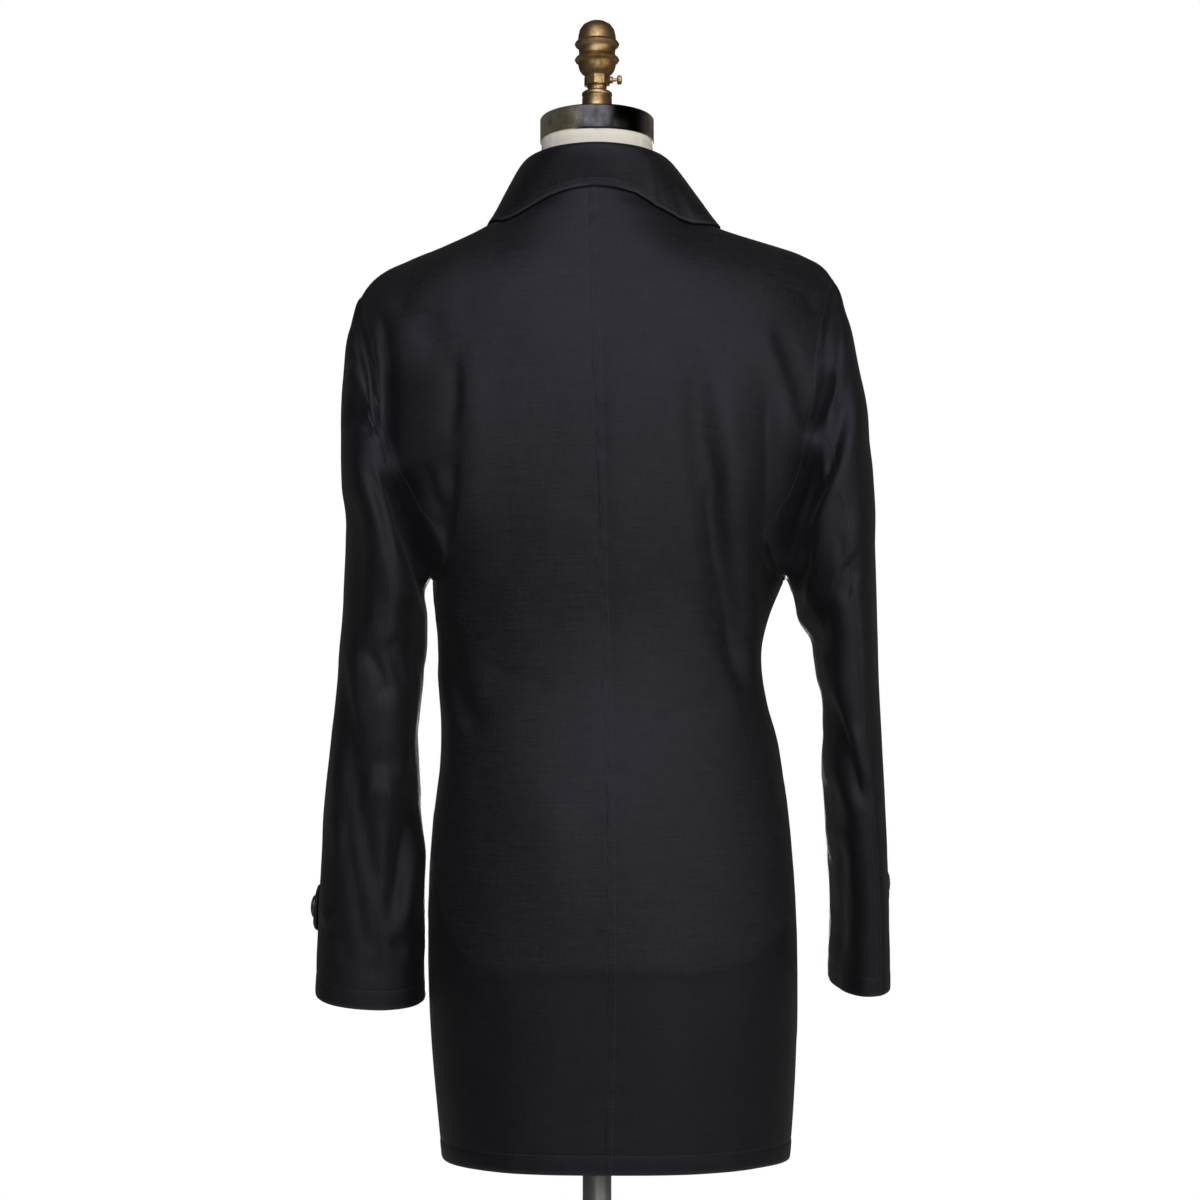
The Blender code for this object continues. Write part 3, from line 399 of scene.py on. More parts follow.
FOLD_FADE = 0.3  # share of a fold's length over which it fades out at each end
FOLD_OFF_SIDE = 0.08  # columns from the side seam over which the folds set in below the armpit
FOLD_OFF_ARMPIT = 0.03  # height over the armpit from which they also reach the armhole


def fold_depth(points, folds):
    """How far the large folds move these points along their normals."""
    x, z = points[..., 0], points[..., 2]
    move = np.zeros(x.shape)
    for fold in folds:
        t = (z - fold.top_z) / (fold.low_z - fold.top_z)
        middle = (fold.mid_z - fold.top_z) / (fold.low_z - fold.top_z)
        bend = (fold.mid_x - fold.top_x - (fold.low_x - fold.top_x) * middle) / (middle * (middle - 1))
        line = fold.top_x + (fold.low_x - fold.top_x) * t + bend * t * (t - 1)
        fade = smooth_step(t / FOLD_FADE) * smooth_step((1 - t) / FOLD_FADE)
        move += fold.depth * fade * bump_at(x - line, fold.width)
    return move


def neck_columns(count):
    """Columns from the centre to the armhole, with one where the neckline ends."""
    neck = max(3, round(count * NECK_SHARE))
    return np.concatenate(
        [np.linspace(0, NECK_SHARE, neck + 1), np.linspace(NECK_SHARE, 1, count - neck + 1)[1:]]
    )


def yoke_knots():
    """Distance of each section above the armpit, the same for all four quarters so that they meet."""
    rows = [quarter_rows(*quarter, neck_columns(COLUMNS))[len(RINGS) - 1 :] for quarter in QUARTERS]
    return lengths_along(np.concatenate(rows, axis=1))


SKIRT_KNOTS = np.array([ring.z - RINGS[0].z for ring in RINGS])
YOKE_KNOTS = yoke_knots()
SKIRT_HEIGHT = SKIRT_KNOTS[-1]
BODY_HEIGHT = SKIRT_HEIGHT + YOKE_KNOTS[-1]
# Each place is evened out with those above and below it: share and distance.
EVENING = ((0.1, -0.048), (0.2, -0.032), (0.2, -0.016), (0.2, 0.016), (0.2, 0.032), (0.1, 0.048))
EVENING_FADE = 0.05  # distance from the hem and the top over which this fades out
SIDE_POWER = 6  # keeps what is special to a side close to it


def quarter_form(side, face, u, heights):
    """Points of one quarter of the body on the curves through its sections."""
    rows = quarter_rows(side, face, u)
    skirt, yoke = rows[: len(RINGS)], rows[len(RINGS) - 1 :]
    at_armpit = (skirt[-1] - skirt[-2]) / (SKIRT_KNOTS[-1] - SKIRT_KNOTS[-2])
    lower = curve_through(skirt, SKIRT_KNOTS, heights[heights <= SKIRT_HEIGHT], end=at_armpit)
    natural = (yoke[1] - yoke[0]) / YOKE_KNOTS[1]
    at_side = np.abs(u[:, None]) ** SIDE_POWER
    start = at_armpit * (1 - at_side) + natural * at_side
    above = heights[heights > SKIRT_HEIGHT] - SKIRT_HEIGHT
    upper = curve_through(yoke, YOKE_KNOTS, above, start=start, end=quarter_end(side, face, u))
    return np.concatenate([lower, upper])


def quarter_surface(side, face, u, heights):
    """Points of one quarter of the body at these columns and heights over the hem, with the large folds."""
    points = quarter_form(side, face, u, heights)
    evened = 0
    for share, rise in EVENING:
        near = np.clip(heights + rise, 0, BODY_HEIGHT)
        evened = evened + share * quarter_form(side, face, u, near)
    from_ends = np.minimum(heights, BODY_HEIGHT - heights)[:, None, None]
    weight = (1 - np.abs(u) ** SIDE_POWER)[None, :, None] * smooth_step(from_ends / EVENING_FADE)
    points = points * (1 - weight) + evened * weight
    normals = grid_normals(points, points * (1, 1, 0))
    off_side = smooth_step((1 - np.abs(u)) / FOLD_OFF_SIDE)[None]
    shown = off_side + smooth_step((heights - SKIRT_HEIGHT) / FOLD_OFF_ARMPIT)[:, None]
    depth = fold_depth(points, BACK_FOLDS if face == "back" else FRONT_FOLDS) * np.clip(shown, 0, 1)
    return points + normals * depth[..., None]


def cuff_section(section, around, side):
    """Points of one section of a sleeve; `around` runs from the outer line to the back, inside and front."""
    c = signed_power(np.cos(2 * math.pi * around), 2 / SLEEVE_FULL)
    s = signed_power(np.sin(2 * math.pi * around), 2 / SLEEVE_FULL)
    forward = -(section.front - section.back) / 2 * s
    x = (section.out_x + section.in_x) / 2 + (section.out_x - section.in_x) / 2 * c
    z = (section.out_z + section.in_z) / 2 + (section.out_z - section.in_z) / 2 * c
    y = (section.back + section.front) / 2 + forward
    return np.stack([SIDES[side] * (x + section.turn * forward), y, z + section.rise * forward], axis=-1)


SLEEVE_SIDES = 24  # lines that a sleeve's length and axis are measured on
LOOP_STEP = 0.003
NEAR_ARMPIT = 0.09
INSIDE_ARMHOLE = 0.92  # a column a little inside the armhole, which shows how the cloth runs there


def armhole(side):
    """Points closely round the armhole, from the shoulder down the back to the armpit and up the front, and
    the directions in which the sleeve leaves the body there."""
    heights = np.linspace(SKIRT_HEIGHT, BODY_HEIGHT, round(YOKE_KNOTS[-1] / LOOP_STEP))
    columns = np.array([INSIDE_ARMHOLE, 1.0])
    armpit_turn = np.array(ARMPIT_TURN) * (SIDES[side], 1, 1)
    loop, off = [], []
    for face in ("back", "front"):
        inside, edge = np.swapaxes(quarter_surface(side, face, columns, heights), 0, 1)
        near = smooth_step(1 - (heights - SKIRT_HEIGHT) / NEAR_ARMPIT)[:, None]
        loop.append(edge)
        off.append(unit(unit(edge - inside) * (1 - near) + armpit_turn * near))
    return (np.concatenate([ends[0][::-1], ends[1][1:]]) for ends in (loop, off))


def sleeve_lines(side, around):
    """Where the lines down a sleeve at these shares of the way round start and meet each section, and the
    directions in which they start."""
    loop, off = armhole(side)
    run = lengths_along(loop[:, None])
    place = np.interp(around % 1.0, [0, 0.5, 1], [0, run[len(loop) // 2], run[-1]])
    sections = [cuff_section(section, around, side) for section in SLEEVES[side]]
    return np.array([line_at(loop, run, place), *sections]), unit(line_at(off, run, place))


def sleeve_knots(side):
    """Mean distance of each section of a sleeve from its armhole."""
    return lengths_along(sleeve_lines(side, np.linspace(0, 1, SLEEVE_SIDES, endpoint=False))[0])


def sleeve_surface(side, around, drops):
    """Points of a sleeve at these shares of the way round and at these distances from the armhole."""
    rows, way = sleeve_lines(side, around)
    return curve_through(rows, sleeve_knots(side), drops, start=way)


# ---------------------------------------------------------------- folds and puckers

# A crease, in millimetres: its line down the cloth as (x, z) points, its reach to the left and right of that
# line, and how far the cloth rises (or, below 0, sinks) on it.
Crease = namedtuple("Crease", "line left right depth")
BODY_BACK = [
    # the long fold from the right shoulder blade to the waist, and the cloth that falls away beyond the next
    Crease(
        [(91, 1215), (97, 1179), (96, 1150), (100, 1112), (110, 1067), (117, 1020), (121, 994)],
        5, 12, -4.2,
    ),
    Crease([(150, 1262), (145, 1232), (145, 1185), (144, 1141), (144, 1103), (143, 1067)], 4, 10, -2.8),
    Crease([(139, 1309), (148, 1280), (158, 1253)], 12, 8, 1.2),
    Crease([(179, 1339), (183, 1325), (186, 1311)], 6, 8, -2.6),
    # the left one, with the cloth that falls away from it towards the armhole
    Crease([(-121, 1283), (-118, 1256), (-120, 1227), (-129, 1204)], 10, 4, -2),
    Crease([(-123, 1197), (-122, 1168), (-126, 1135), (-131, 1106)], 12, 4, -3.6),
    Crease([(-148, 1190), (-142, 1163), (-135, 1135)], 6, 6, -3),
    Crease([(-136, 1162), (-133, 1138), (-133, 1118)], 10, 8, -3),
    Crease([(-113, 1280), (-111, 1227), (-113, 1168), (-118, 1109)], 6, 18, 1.4),
    Crease([(-169, 1347), (-167, 1328), (-169, 1306)], 10, 12, -2),
    Crease([(-141, 1318), (-144, 1303), (-153, 1288)], 12, 14, -1.4),
    # drag lines at the waist
    Crease([(-138, 1059), (-126, 1014), (-113, 976), (-100, 944)], 8, 12, -4),
    Crease([(-138, 1023), (-130, 985), (-119, 953)], 8, 8, 1.6),
    Crease([(-75, 1053), (-81, 1006), (-75, 953)], 20, 22, -1.2),
    Crease([(107, 1059), (120, 1014), (135, 979), (148, 947)], 8, 12, -3.6),
    Crease([(126, 1035), (136, 1000), (148, 967)], 6, 10, 1.4),
    Crease([(-50, 1140), (-85, 1085), (-126, 1046)], 12, 16, -1.4),
    Crease([(50, 1110), (85, 1062), (122, 1026)], 12, 14, -1.4),
    Crease([(-110, 1030), (-70, 1004), (-30, 998)], 12, 12, -1),
    Crease([(122, 996), (80, 974), (40, 972)], 12, 12, -1.1),
    # soft drapes in the yoke and the skirt
    Crease([(-36, 1385), (-50, 1330), (-60, 1260)], 18, 22, 1.3),
    Crease([(36, 1380), (48, 1330), (52, 1260)], 18, 18, -1.1),
    Crease([(-104, 1372), (-108, 1330), (-106, 1285)], 14, 18, -0.9),
    Crease([(19, 1330), (16, 1200), (21, 1060), (24, 960)], 10, 20, 1.2),
    Crease([(-30, 930), (-36, 800), (-30, 620)], 24, 26, 1.8),
    Crease([(-90, 920), (-86, 800), (-92, 640)], 20, 22, -1.2),
    Crease([(56, 930), (62, 800), (58, 640)], 22, 22, -1.1),
    Crease([(112, 900), (120, 760), (116, 610)], 20, 18, 1.6),
]
BODY_FRONT = [
    Crease([(-90, 1285), (-98, 1190), (-104, 1100)], 6, 5, -2),
    Crease([(94, 1290), (100, 1200), (101, 1110)], 5, 6, -1.8),
    Crease([(134, 1200), (126, 1150), (112, 1108)], 5, 7, -1.8),
    Crease([(-130, 1196), (-122, 1150), (-110, 1105)], 5, 7, -1.6),
    Crease([(55, 1080), (85, 1046), (120, 1024)], 6, 8, -1.2),
    Crease([(-50, 1072), (-80, 1040), (-112, 1020)], 6, 8, -1.2),
    Crease([(45, 1360), (62, 1310), (66, 1250)], 12, 14, 1),
    Crease([(-52, 900), (-56, 780), (-50, 640)], 16, 20, 1.2),
    Crease([(52, 890), (58, 770), (60, 630)], 16, 18, 1.2),
]
SLEEVE_BACK = [
    # left sleeve: a tuck across below the shoulder, the long fold, and the double one on it
    Crease([(-215, 1231), (-205, 1226), (-195, 1218), (-189, 1206)], 10, 16, -5),
    Crease([(-214, 1265), (-205, 1259), (-195, 1244)], 10, 10, 3),
    Crease([(-212, 1215), (-199, 1174), (-183, 1132), (-172, 1094), (-169, 1029)], 12, 10, 3.6),
    Crease([(-214, 1168), (-209, 1126), (-206, 1079), (-209, 1026)], 12, 14, -5.6),
    Crease([(-195, 1188), (-186, 1159), (-178, 1126), (-175, 1094)], 4, 4, -2.6),
    Crease([(-190, 1188), (-181, 1159), (-174, 1126), (-172, 1097)], 3, 3, 1.8),
    Crease([(-186, 1185), (-177, 1159), (-171, 1126), (-169, 1103)], 4, 4, -2.4),
    Crease([(-203, 1306), (-197, 1287), (-190, 1262)], 4, 4, -1.4),
    Crease([(-160, 1079), (-157, 1038), (-153, 997)], 10, 12, -4.4),
    Crease([(-189, 1044), (-186, 1008), (-183, 973)], 14, 14, -2.6),
    # left forearm and cuff: long streaks outside, a hollow at the elbow, and a crease into the cuff
    Crease([(-176, 1041), (-169, 1014), (-163, 985)], 8, 8, -4),
    Crease([(-202, 1032), (-185, 1008), (-176, 982)], 6, 8, -3.4),
    Crease([(-222, 1023), (-214, 970), (-207, 917), (-196, 852), (-188, 799)], 8, 10, -5.2),
    Crease([(-212, 1035), (-207, 994), (-204, 953)], 7, 7, 2.4),
    Crease([(-218, 917), (-213, 858), (-204, 805), (-200, 758)], 5, 6, -2.6),
    Crease([(-226, 953), (-222, 888), (-220, 835)], 7, 7, 2),
    Crease([(-207, 925), (-187, 930), (-164, 925)], 6, 12, -2.2),
    Crease([(-203, 908), (-186, 905), (-169, 908)], 14, 10, 3.6),
    Crease([(-154, 902), (-163, 864), (-170, 823), (-178, 782)], 12, 5, -6.6),
    Crease([(-151, 876), (-156, 841), (-163, 805), (-170, 773)], 6, 9, 4.2),
    Crease([(-234, 796), (-222, 776), (-213, 752)], 6, 8, -3.4),
    Crease([(-237, 808), (-227, 782), (-218, 758)], 5, 6, 2.4),
    Crease([(-176, 779), (-169, 770), (-163, 774)], 5, 8, -2.4),
    Crease([(-196, 787), (-191, 761), (-193, 740)], 7, 8, -1.8),
    # right sleeve: the deep fold that runs from the cap into the armpit, and dimples below it
    Crease(
        [(215, 1297), (214, 1259), (209, 1221), (200, 1188), (189, 1163), (174, 1129), (164, 1094)],
        12, 5, -5.6,
    ),
    Crease([(223, 1268), (219, 1227), (210, 1188), (197, 1156), (183, 1125), (174, 1094)], 8, 14, 4.6),
    Crease([(206, 1288), (204, 1259), (200, 1227)], 10, 8, -3),
    Crease([(195, 1185), (190, 1175), (185, 1168)], 6, 6, 3),
    Crease([(209, 1101), (216, 1094), (224, 1084)], 10, 12, -4.4),
    Crease([(200, 1085), (209, 1078), (218, 1075)], 8, 10, -3),
    Crease([(205, 1132), (207, 1109), (210, 1091)], 4, 4, -1.6),
    Crease([(167, 1085), (172, 1065), (184, 1041), (192, 1020)], 8, 10, -4),
    Crease([(227, 1209), (230, 1156), (228, 1109)], 12, 12, 2),
    # right forearm and cuff: the diagonal fold with its wedge, and the cuff turned a little past the front
    Crease([(192, 1006), (200, 973), (210, 941), (220, 914), (229, 885)], 12, 6, -6.6),
    Crease([(200, 953), (208, 923), (216, 899), (222, 882)], 8, 7, 3.4),
    Crease([(216, 967), (225, 935), (231, 905)], 6, 10, 3),
    Crease([(198, 917), (203, 888), (207, 864)], 5, 6, -3),
    Crease([(204, 876), (209, 835), (209, 790), (211, 752)], 4, 5, -4.2),
    Crease([(197, 1035), (204, 1006), (216, 970)], 12, 10, 2.2),
    Crease([(223, 858), (225, 817), (224, 776)], 14, 14, -1.6),
]
SLEEVE_FRONT = [
    Crease([(-163, 1190), (-152, 1140), (-140, 1095)], 12, 7, -9),
    Crease([(-207, 1225), (-190, 1140), (-176, 1060)], 9, 13, -4.6),
    Crease([(-216, 1120), (-204, 1040), (-192, 960)], 13, 12, 3),
    Crease([(-152, 1020), (-172, 990), (-206, 982)], 8, 11, -4.8),
    Crease([(-156, 968), (-178, 944), (-208, 946)], 8, 12, -3.8),
    Crease([(-160, 905), (-176, 860), (-186, 800)], 9, 12, -4),
    Crease([(166, 1180), (160, 1130), (168, 1070)], 8, 12, -8),
    Crease([(213, 1215), (203, 1140), (197, 1050)], 11, 10, -4.4),
    Crease([(224, 1110), (226, 1020), (222, 930)], 12, 12, 2.8),
    Crease([(194, 1000), (212, 976), (236, 978)], 8, 11, -4.4),
    Crease([(200, 962), (214, 940), (238, 944)], 8, 12, -3.6),
    Crease([(206, 910), (222, 870), (230, 820)], 9, 10, -3),
]
# Where the cloth sinks straight in beside and under the arms, on the body and the sleeves together, so that
# the armholes stay closed. The cloth there is also painted in shade, the darker the deeper it sinks.
HOLLOWS = [
    Crease([(-186, 1328), (-180, 1294), (-175, 1262), (-174, 1227), (-176, 1200), (-172, 1168)], 5, 6, 7),
    Crease([(-177, 1185), (-167, 1150), (-156, 1118), (-144, 1082)], 9, 20, 16.5),
    Crease([(198, 1274), (194, 1247), (187, 1227), (177, 1207)], 6, 5, 7),
    Crease([(185, 1203), (183, 1179), (175, 1147), (166, 1118), (159, 1082)], 12, 5, 13),
    Crease([(-179, 1280), (-174, 1244), (-173, 1215), (-164, 1174), (-153, 1141)], 5, 34, 7.5),
    Crease([(148, 1309), (159, 1278), (170, 1249), (176, 1225), (181, 1200)], 5, 10, 4.4),
    Crease([(179, 1227), (174, 1191), (166, 1159), (155, 1129), (148, 1097)], 26, 6, 6.5),
]
MILLIMETRE = 0.001
HOLLOW_DEPTH = 0.011  # of a hollow at which the shade painted into the cloth is darkest
CREASE_STEPS = 10
CREASE_FADE = 0.28  # share of a crease's length over which it fades out at each end
FAR = 1e9


def crease_lift(points, creases):
    """How far the creases move these points along their normals."""
    x, z = points[..., 0], points[..., 2]
    lift = np.zeros(x.shape)
    for crease in creases:
        at = np.linspace(0, 1, CREASE_STEPS + 1)
        line = curve_through(crease.line, np.linspace(0, 1, len(crease.line)), at) * MILLIMETRE
        least = np.full(x.shape, FAR)
        reach = np.ones(x.shape)
        along = np.zeros(x.shape)
        for number, (start, end) in enumerate(zip(line, line[1:])):
            way = end - start
            t = np.clip(((x - start[0]) * way[0] + (z - start[1]) * way[1]) / (way @ way), 0, 1)
            off_x, off_z = x - start[0] - t * way[0], z - start[1] - t * way[1]
            away = np.hypot(off_x, off_z)
            closer = away < least
            least = np.where(closer, away, least)
            on_right = off_z * way[0] - off_x * way[1] > 0
            beside = np.where(on_right, crease.right, crease.left) * MILLIMETRE
            reach = np.where(closer, beside, reach)
            along = np.where(closer, (number + t) / CREASE_STEPS, along)
        fade = smooth_step(along / CREASE_FADE) * smooth_step((1 - along) / CREASE_FADE)
        lift += crease.depth * MILLIMETRE * fade * bump_at(least, reach)
    return lift


TURN_START, TURN_REACH = 0.25, 0.45  # where and how soon creases fade as the cloth turns to the other side


def both_sides(points, normals, back, front):
    """Lift of the creases on the back and on the front, each where the cloth faces that way."""
    toward_back = smooth_step((TURN_START - normals[..., 1]) / TURN_REACH)
    toward_front = smooth_step((TURN_START + normals[..., 1]) / TURN_REACH)
    return crease_lift(points, back) * toward_back + crease_lift(points, front) * toward_front


HOLLOW_START = 0.02  # distance behind the coat's middle over which the hollows start


def sinking(points):
    """How far the cloth sinks in the hollows at the back."""
    return crease_lift(points, HOLLOWS) * smooth_step(-points[..., 1] / HOLLOW_START)


# The line in the skirt where the form's lower edge shows, as (x, z) points in metres.
FORM_EDGE = [
    (-0.160, 0.862), (-0.140, 0.835), (-0.131, 0.799), (-0.113, 0.770), (-0.092, 0.7577), (-0.040, 0.7550),
    (0.040, 0.7550), (0.105, 0.7565), (0.139, 0.770), (0.152, 0.7825), (0.165, 0.793), (0.185, 0.800),
]


FORM_STEP, FORM_STEP_HALF, FORM_STEP_REACH = 0.0007, 0.004, 0.030  # its height, steepness and fading
FRONT_SHARE = 0.6  # how strongly it shows on the front


def above_form_edge(points):
    """Height over the line in the skirt where the form's lower edge shows."""
    line = np.array(FORM_EDGE)
    level = curve_through(line[:, 1], line[:, 0], points[..., 0].ravel())
    return points[..., 2] - level.reshape(points.shape[:2])


def form_edge(points, normals):
    """The step in the skirt where the form's lower edge presses through."""
    above = above_form_edge(points)
    step = FORM_STEP * np.tanh(above / FORM_STEP_HALF) * bump_at(above, FORM_STEP_REACH)
    on_back, on_front = smooth_step(-normals[..., 1] * 3), smooth_step(normals[..., 1] * 3)
    return step * on_back + FRONT_SHARE * step * on_front


# The soft unevenness of worn cloth: height, size of a lump along each axis, and seed.
BODY_LUMPS = ((0.0014, (0.040, 0.060, 0.120), 3), (0.0003, (0.017, 0.020, 0.036), 4))
SLEEVE_LUMPS = ((0.0016, (0.030, 0.034, 0.070), 5), (0.0005, (0.014, 0.016, 0.024), 6))
COLLAR_LUMPS = ((0.0009, (0.030, 0.040, 0.030), 8),)
TAB_LUMPS = ((0.0003, (0.012, 0.012, 0.012), 9),)


def lumps(points, table):
    return sum(height * soft_noise(points, scale, seed) for height, scale, seed in table)


def body_lift(points, normals):
    creased = both_sides(points, normals, BODY_BACK, BODY_FRONT)
    return creased + form_edge(points, normals) + lumps(points, BODY_LUMPS)


def sleeve_lift(points, normals):
    return both_sides(points, normals, SLEEVE_BACK, SLEEVE_FRONT) + lumps(points, SLEEVE_LUMPS)


# ---------------------------------------------------------------- sewn edges

# Distances of the first points from an edge and from a hem.
EDGE_STEPS = (0.0, 0.0006, 0.0014, 0.0024, 0.0036, 0.0050, 0.0060, 0.0070, 0.0085, 0.0105, 0.0132)
HEM_STEPS = (0.0, 0.0008, 0.0020, 0.0040, 0.0070, 0.0105, 0.0135, 0.0150, 0.0160, 0.0170, 0.0186, 0.0215)
STEP = 0.0036  # between the points everywhere else
STITCH_IN = 0.006
HEM_STITCH = 0.016


def spaced(length, near_start, near_end, step=STEP):
    """Distances from 0 to the length, close together at sewn ends."""
    start, end = np.array(near_start), length - np.array(near_end)[::-1]
    between = np.linspace(start[-1], end[0], max(2, round((end[0] - start[-1]) / step) + 1))
    return np.concatenate([start[:-1], between, end[1:]])


# How an edge is finished: "plain" is a pressed seam, "stitched" a seam sewn down beside it, "under" the side
# of such a seam without its stitches, "hem" a turned and stitched end, "edge" a stitched free edge, "free" a
# fold. For each: the ridge over its turning as (height, width), its grooves as (depth, place, reach), and the
# small puckers that sewing leaves as (height, reach).
Sewn = namedtuple("Sewn", "ridge grooves puckers")
SEAM_GROOVE = (0.00014, 0.0, 0.0009)
SEWN = {
    "plain": Sewn((0.0, 0.0), [SEAM_GROOVE], (0.0004, 0.008)),
    "under": Sewn((0.0, 0.0), [SEAM_GROOVE], (0.0006, 0.010)),
    "stitched": Sewn((0.00022, 0.0088), [SEAM_GROOVE, (0.00035, STITCH_IN, 0.0011)], (0.00085, 0.011)),
    "hem": Sewn((0.0005, 0.0185), [(0.0007, HEM_STITCH, 0.0014), (0.0006, 0.0, 0.0010)], (0.0004, 0.016)),
    "edge": Sewn((0.0, 0.0), [(0.0002, STITCH_IN, 0.0011), (0.0003, 0.0, 0.0009)], (0.0004, 0.016)),
    "free": Sewn((0.0, 0.0), [(0.0004, 0.0, 0.0008)], (0.0004, 0.016)),
}
SEAM_KINDS = ("plain", "stitched", "under")
SEWN_LINES = {"stitched": STITCH_IN, "edge": STITCH_IN, "hem": HEM_STITCH}
RIDGE_END = 0.0030
PUCKER_LONG, PUCKER_WIDE = 0.6, 0.0085  # size of a pucker across its edge and along it
PUCKER_START = 0.0015


def edge_lift(distance, kind):
    """Lift of the cloth near one edge."""
    height, width = SEWN[kind].ridge
    lift = height * smooth_step((width - distance) / RIDGE_END)
    for depth, place, reach in SEWN[kind].grooves:
        lift = lift - depth * bump_at(distance - place, reach)
    return lift


def pucker_lift(points, distance, kind, along, seed):
    """The small uneven ripples beside an edge; `along` holds the axes that the edge follows."""
    scale = np.full(3, PUCKER_LONG)
    scale[list(along)] = PUCKER_WIDE
    height, reach = SEWN[kind].puckers
    grown = smooth_step(distance / PUCKER_START)
    return height * soft_noise(points, scale, seed) * bump_at(distance, reach) * grown


Edges = namedtuple("Edges", "start end low high")  # first and last column, first and last row


def edge_distances(points):
    across, up = runs_along(points, 1), runs_along(points, 0)
    return Edges(across, across[:, -1:] - across, up, up[-1:] - up)


def share_edge_normals(grids):
    """Gives the pieces that meet at a seam one normal there."""
    sums = {}
    rims = []
    for points, normals in grids:
        rim = np.zeros(points.shape[:2], bool)
        rim[[0, -1]] = True
        rim[:, [0, -1]] = True
        keys = [tuple(key) for key in np.round(points[rim], 5).tolist()]
        rims.append((normals, rim, keys))
        for key, normal in zip(keys, normals[rim]):
            sums[key] = sums.get(key, 0) + normal
    for normals, rim, keys in rims:
        normals[rim] = unit(np.array([sums[key] for key in keys]))


# ---------------------------------------------------------------- making meshes


def link(obj):
    bpy.context.scene.collection.objects.link(obj)
    return obj


def mesh_object(name, points, faces, material):
    mesh = bpy.data.meshes.new(name)
    mesh.from_pydata(np.asarray(points).tolist(), [], [tuple(face) for face in faces])
    mesh.materials.append(material)
    mesh.shade_smooth()
    return link(bpy.data.objects.new(name, mesh))


def point_attribute(mesh, name, values):
    attribute = mesh.attributes.new(name, "FLOAT", "POINT")
    attribute.data.foreach_set("value", np.asarray(values, np.float32).ravel())


def point_uv(mesh, coordinates):
    corners = np.empty(len(mesh.loops), np.int32)
    mesh.loops.foreach_get("vertex_index", corners)
    layer = mesh.uv_layers.new(name="UVMap")
    layer.data.foreach_set("uv", np.asarray(coordinates, np.float32)[corners].ravel())


def grid_faces(at):
    return np.stack([at[:-1, :-1], at[:-1, 1:], at[1:, 1:], at[1:, :-1]], axis=-1).reshape(-1, 4)


def stacked(rings, foot, top):
    """Points and faces of a closed shape through rings of points, from the middle of its foot to that of its
    top."""
    rings = np.asarray(rings)
    count, steps = rings.shape[:2]
    at = 1 + np.arange(count * steps).reshape(count, steps)
    at = np.concatenate([at, at[:, :1]], axis=1)
    points = np.concatenate([[foot], rings.reshape(-1, 3), [top]])
    faces = grid_faces(at).tolist()
    faces += [(0, after, here) for here, after in zip(at[0].tolist(), at[0, 1:].tolist())]
    faces += [(len(points) - 1, here, after) for here, after in zip(at[-1].tolist(), at[-1, 1:].tolist())]
    return points, faces


def drawn_back(outer, kinds):
    """A grid with its sewn edges drawn back by half a seam gap, and where its edges are free."""
    moved, free = outer.copy(), np.zeros(outer.shape[:2])
    for axis, names in ((1, ("start", "end")), (0, ("low", "high"))):
        lines, targets, loose = (np.swapaxes(grid, 0, axis) for grid in (outer, moved, free))
        for at, inside, edge in ((0, 1, names[0]), (-1, -2, names[1])):
            along = unit(np.gradient(lines[at], axis=0))
            inwards = lines[inside] - lines[at]
            inwards = inwards - along * (inwards * along).sum(axis=-1, keepdims=True)
            if getattr(kinds, edge) in SEAM_KINDS:
                targets[at] += unit(inwards) * SEAM_GAP / 2
            else:
                loose[at] = 1.0
    return moved, free


ROUND_OVER = 0.36  # share of the cloth's thickness that a free edge bulges by


def cloth_wall(name, outer, normals, thick, free, material):
    """A closed wall of cloth, rounded over where its edges are free, and the points round its rim."""
    count = free.size
    at = np.arange(count).reshape(free.shape)
    rim = np.concatenate([at[0, :-1], at[:-1, -1], at[-1, :0:-1], at[:0:-1, 0]])
    flat, flat_inner = outer.reshape(-1, 3), (outer - normals * thick).reshape(-1, 3)
    ahead, behind = flat[np.roll(rim, -1)], flat[np.roll(rim, 1)]
    faced = (np.cross(np.gradient(outer, axis=1), np.gradient(outer, axis=0)) * normals).sum()
    turn = 1.0 if faced > 0 else -1.0
    away = turn * unit(np.cross(ahead - behind, normals.reshape(-1, 3)[rim]))
    loose = free.ravel()[rim]
    middle = (flat[rim] + flat_inner[rim]) / 2 + away * (loose * thick * ROUND_OVER)[:, None]
    ring = 2 * count + np.arange(len(rim))
    ahead_rim, ahead_ring = np.roll(rim, -1), np.roll(ring, -1)
    faces = np.concatenate(
        [
            grid_faces(at),
            grid_faces(at)[:, ::-1] + count,
            np.stack([ahead_rim, rim, ring, ahead_ring], axis=-1),
            np.stack([ahead_ring, ring, rim + count, ahead_rim + count], axis=-1),
        ]
    )
    if turn < 0:
        faces = faces[:, ::-1]
    obj = mesh_object(name, np.concatenate([flat, flat_inner, middle]), faces.tolist(), material)
    on_seam = np.zeros(2 * count + len(rim), bool)
    on_seam[rim[loose == 0]] = True
    ends = np.empty(2 * len(obj.data.edges), np.int32)
    obj.data.edges.foreach_get("vertices", ends)
    sharp = on_seam[ends.reshape(-1, 2)].all(axis=1)
    obj.data.attributes.new("sharp_edge", "BOOLEAN", "EDGE").data.foreach_set("value", sharp)
    return obj, rim


INSIDE_UV = (0.37, 0.11)  # keeps the two sides of the cloth from showing the same threads
WORN_REACH = 0.0022  # of the rubbed cloth beside a free edge
SEAM_REACH, SEAM_DARK = 0.0012, 0.6  # of the unrubbed cloth beside a seam


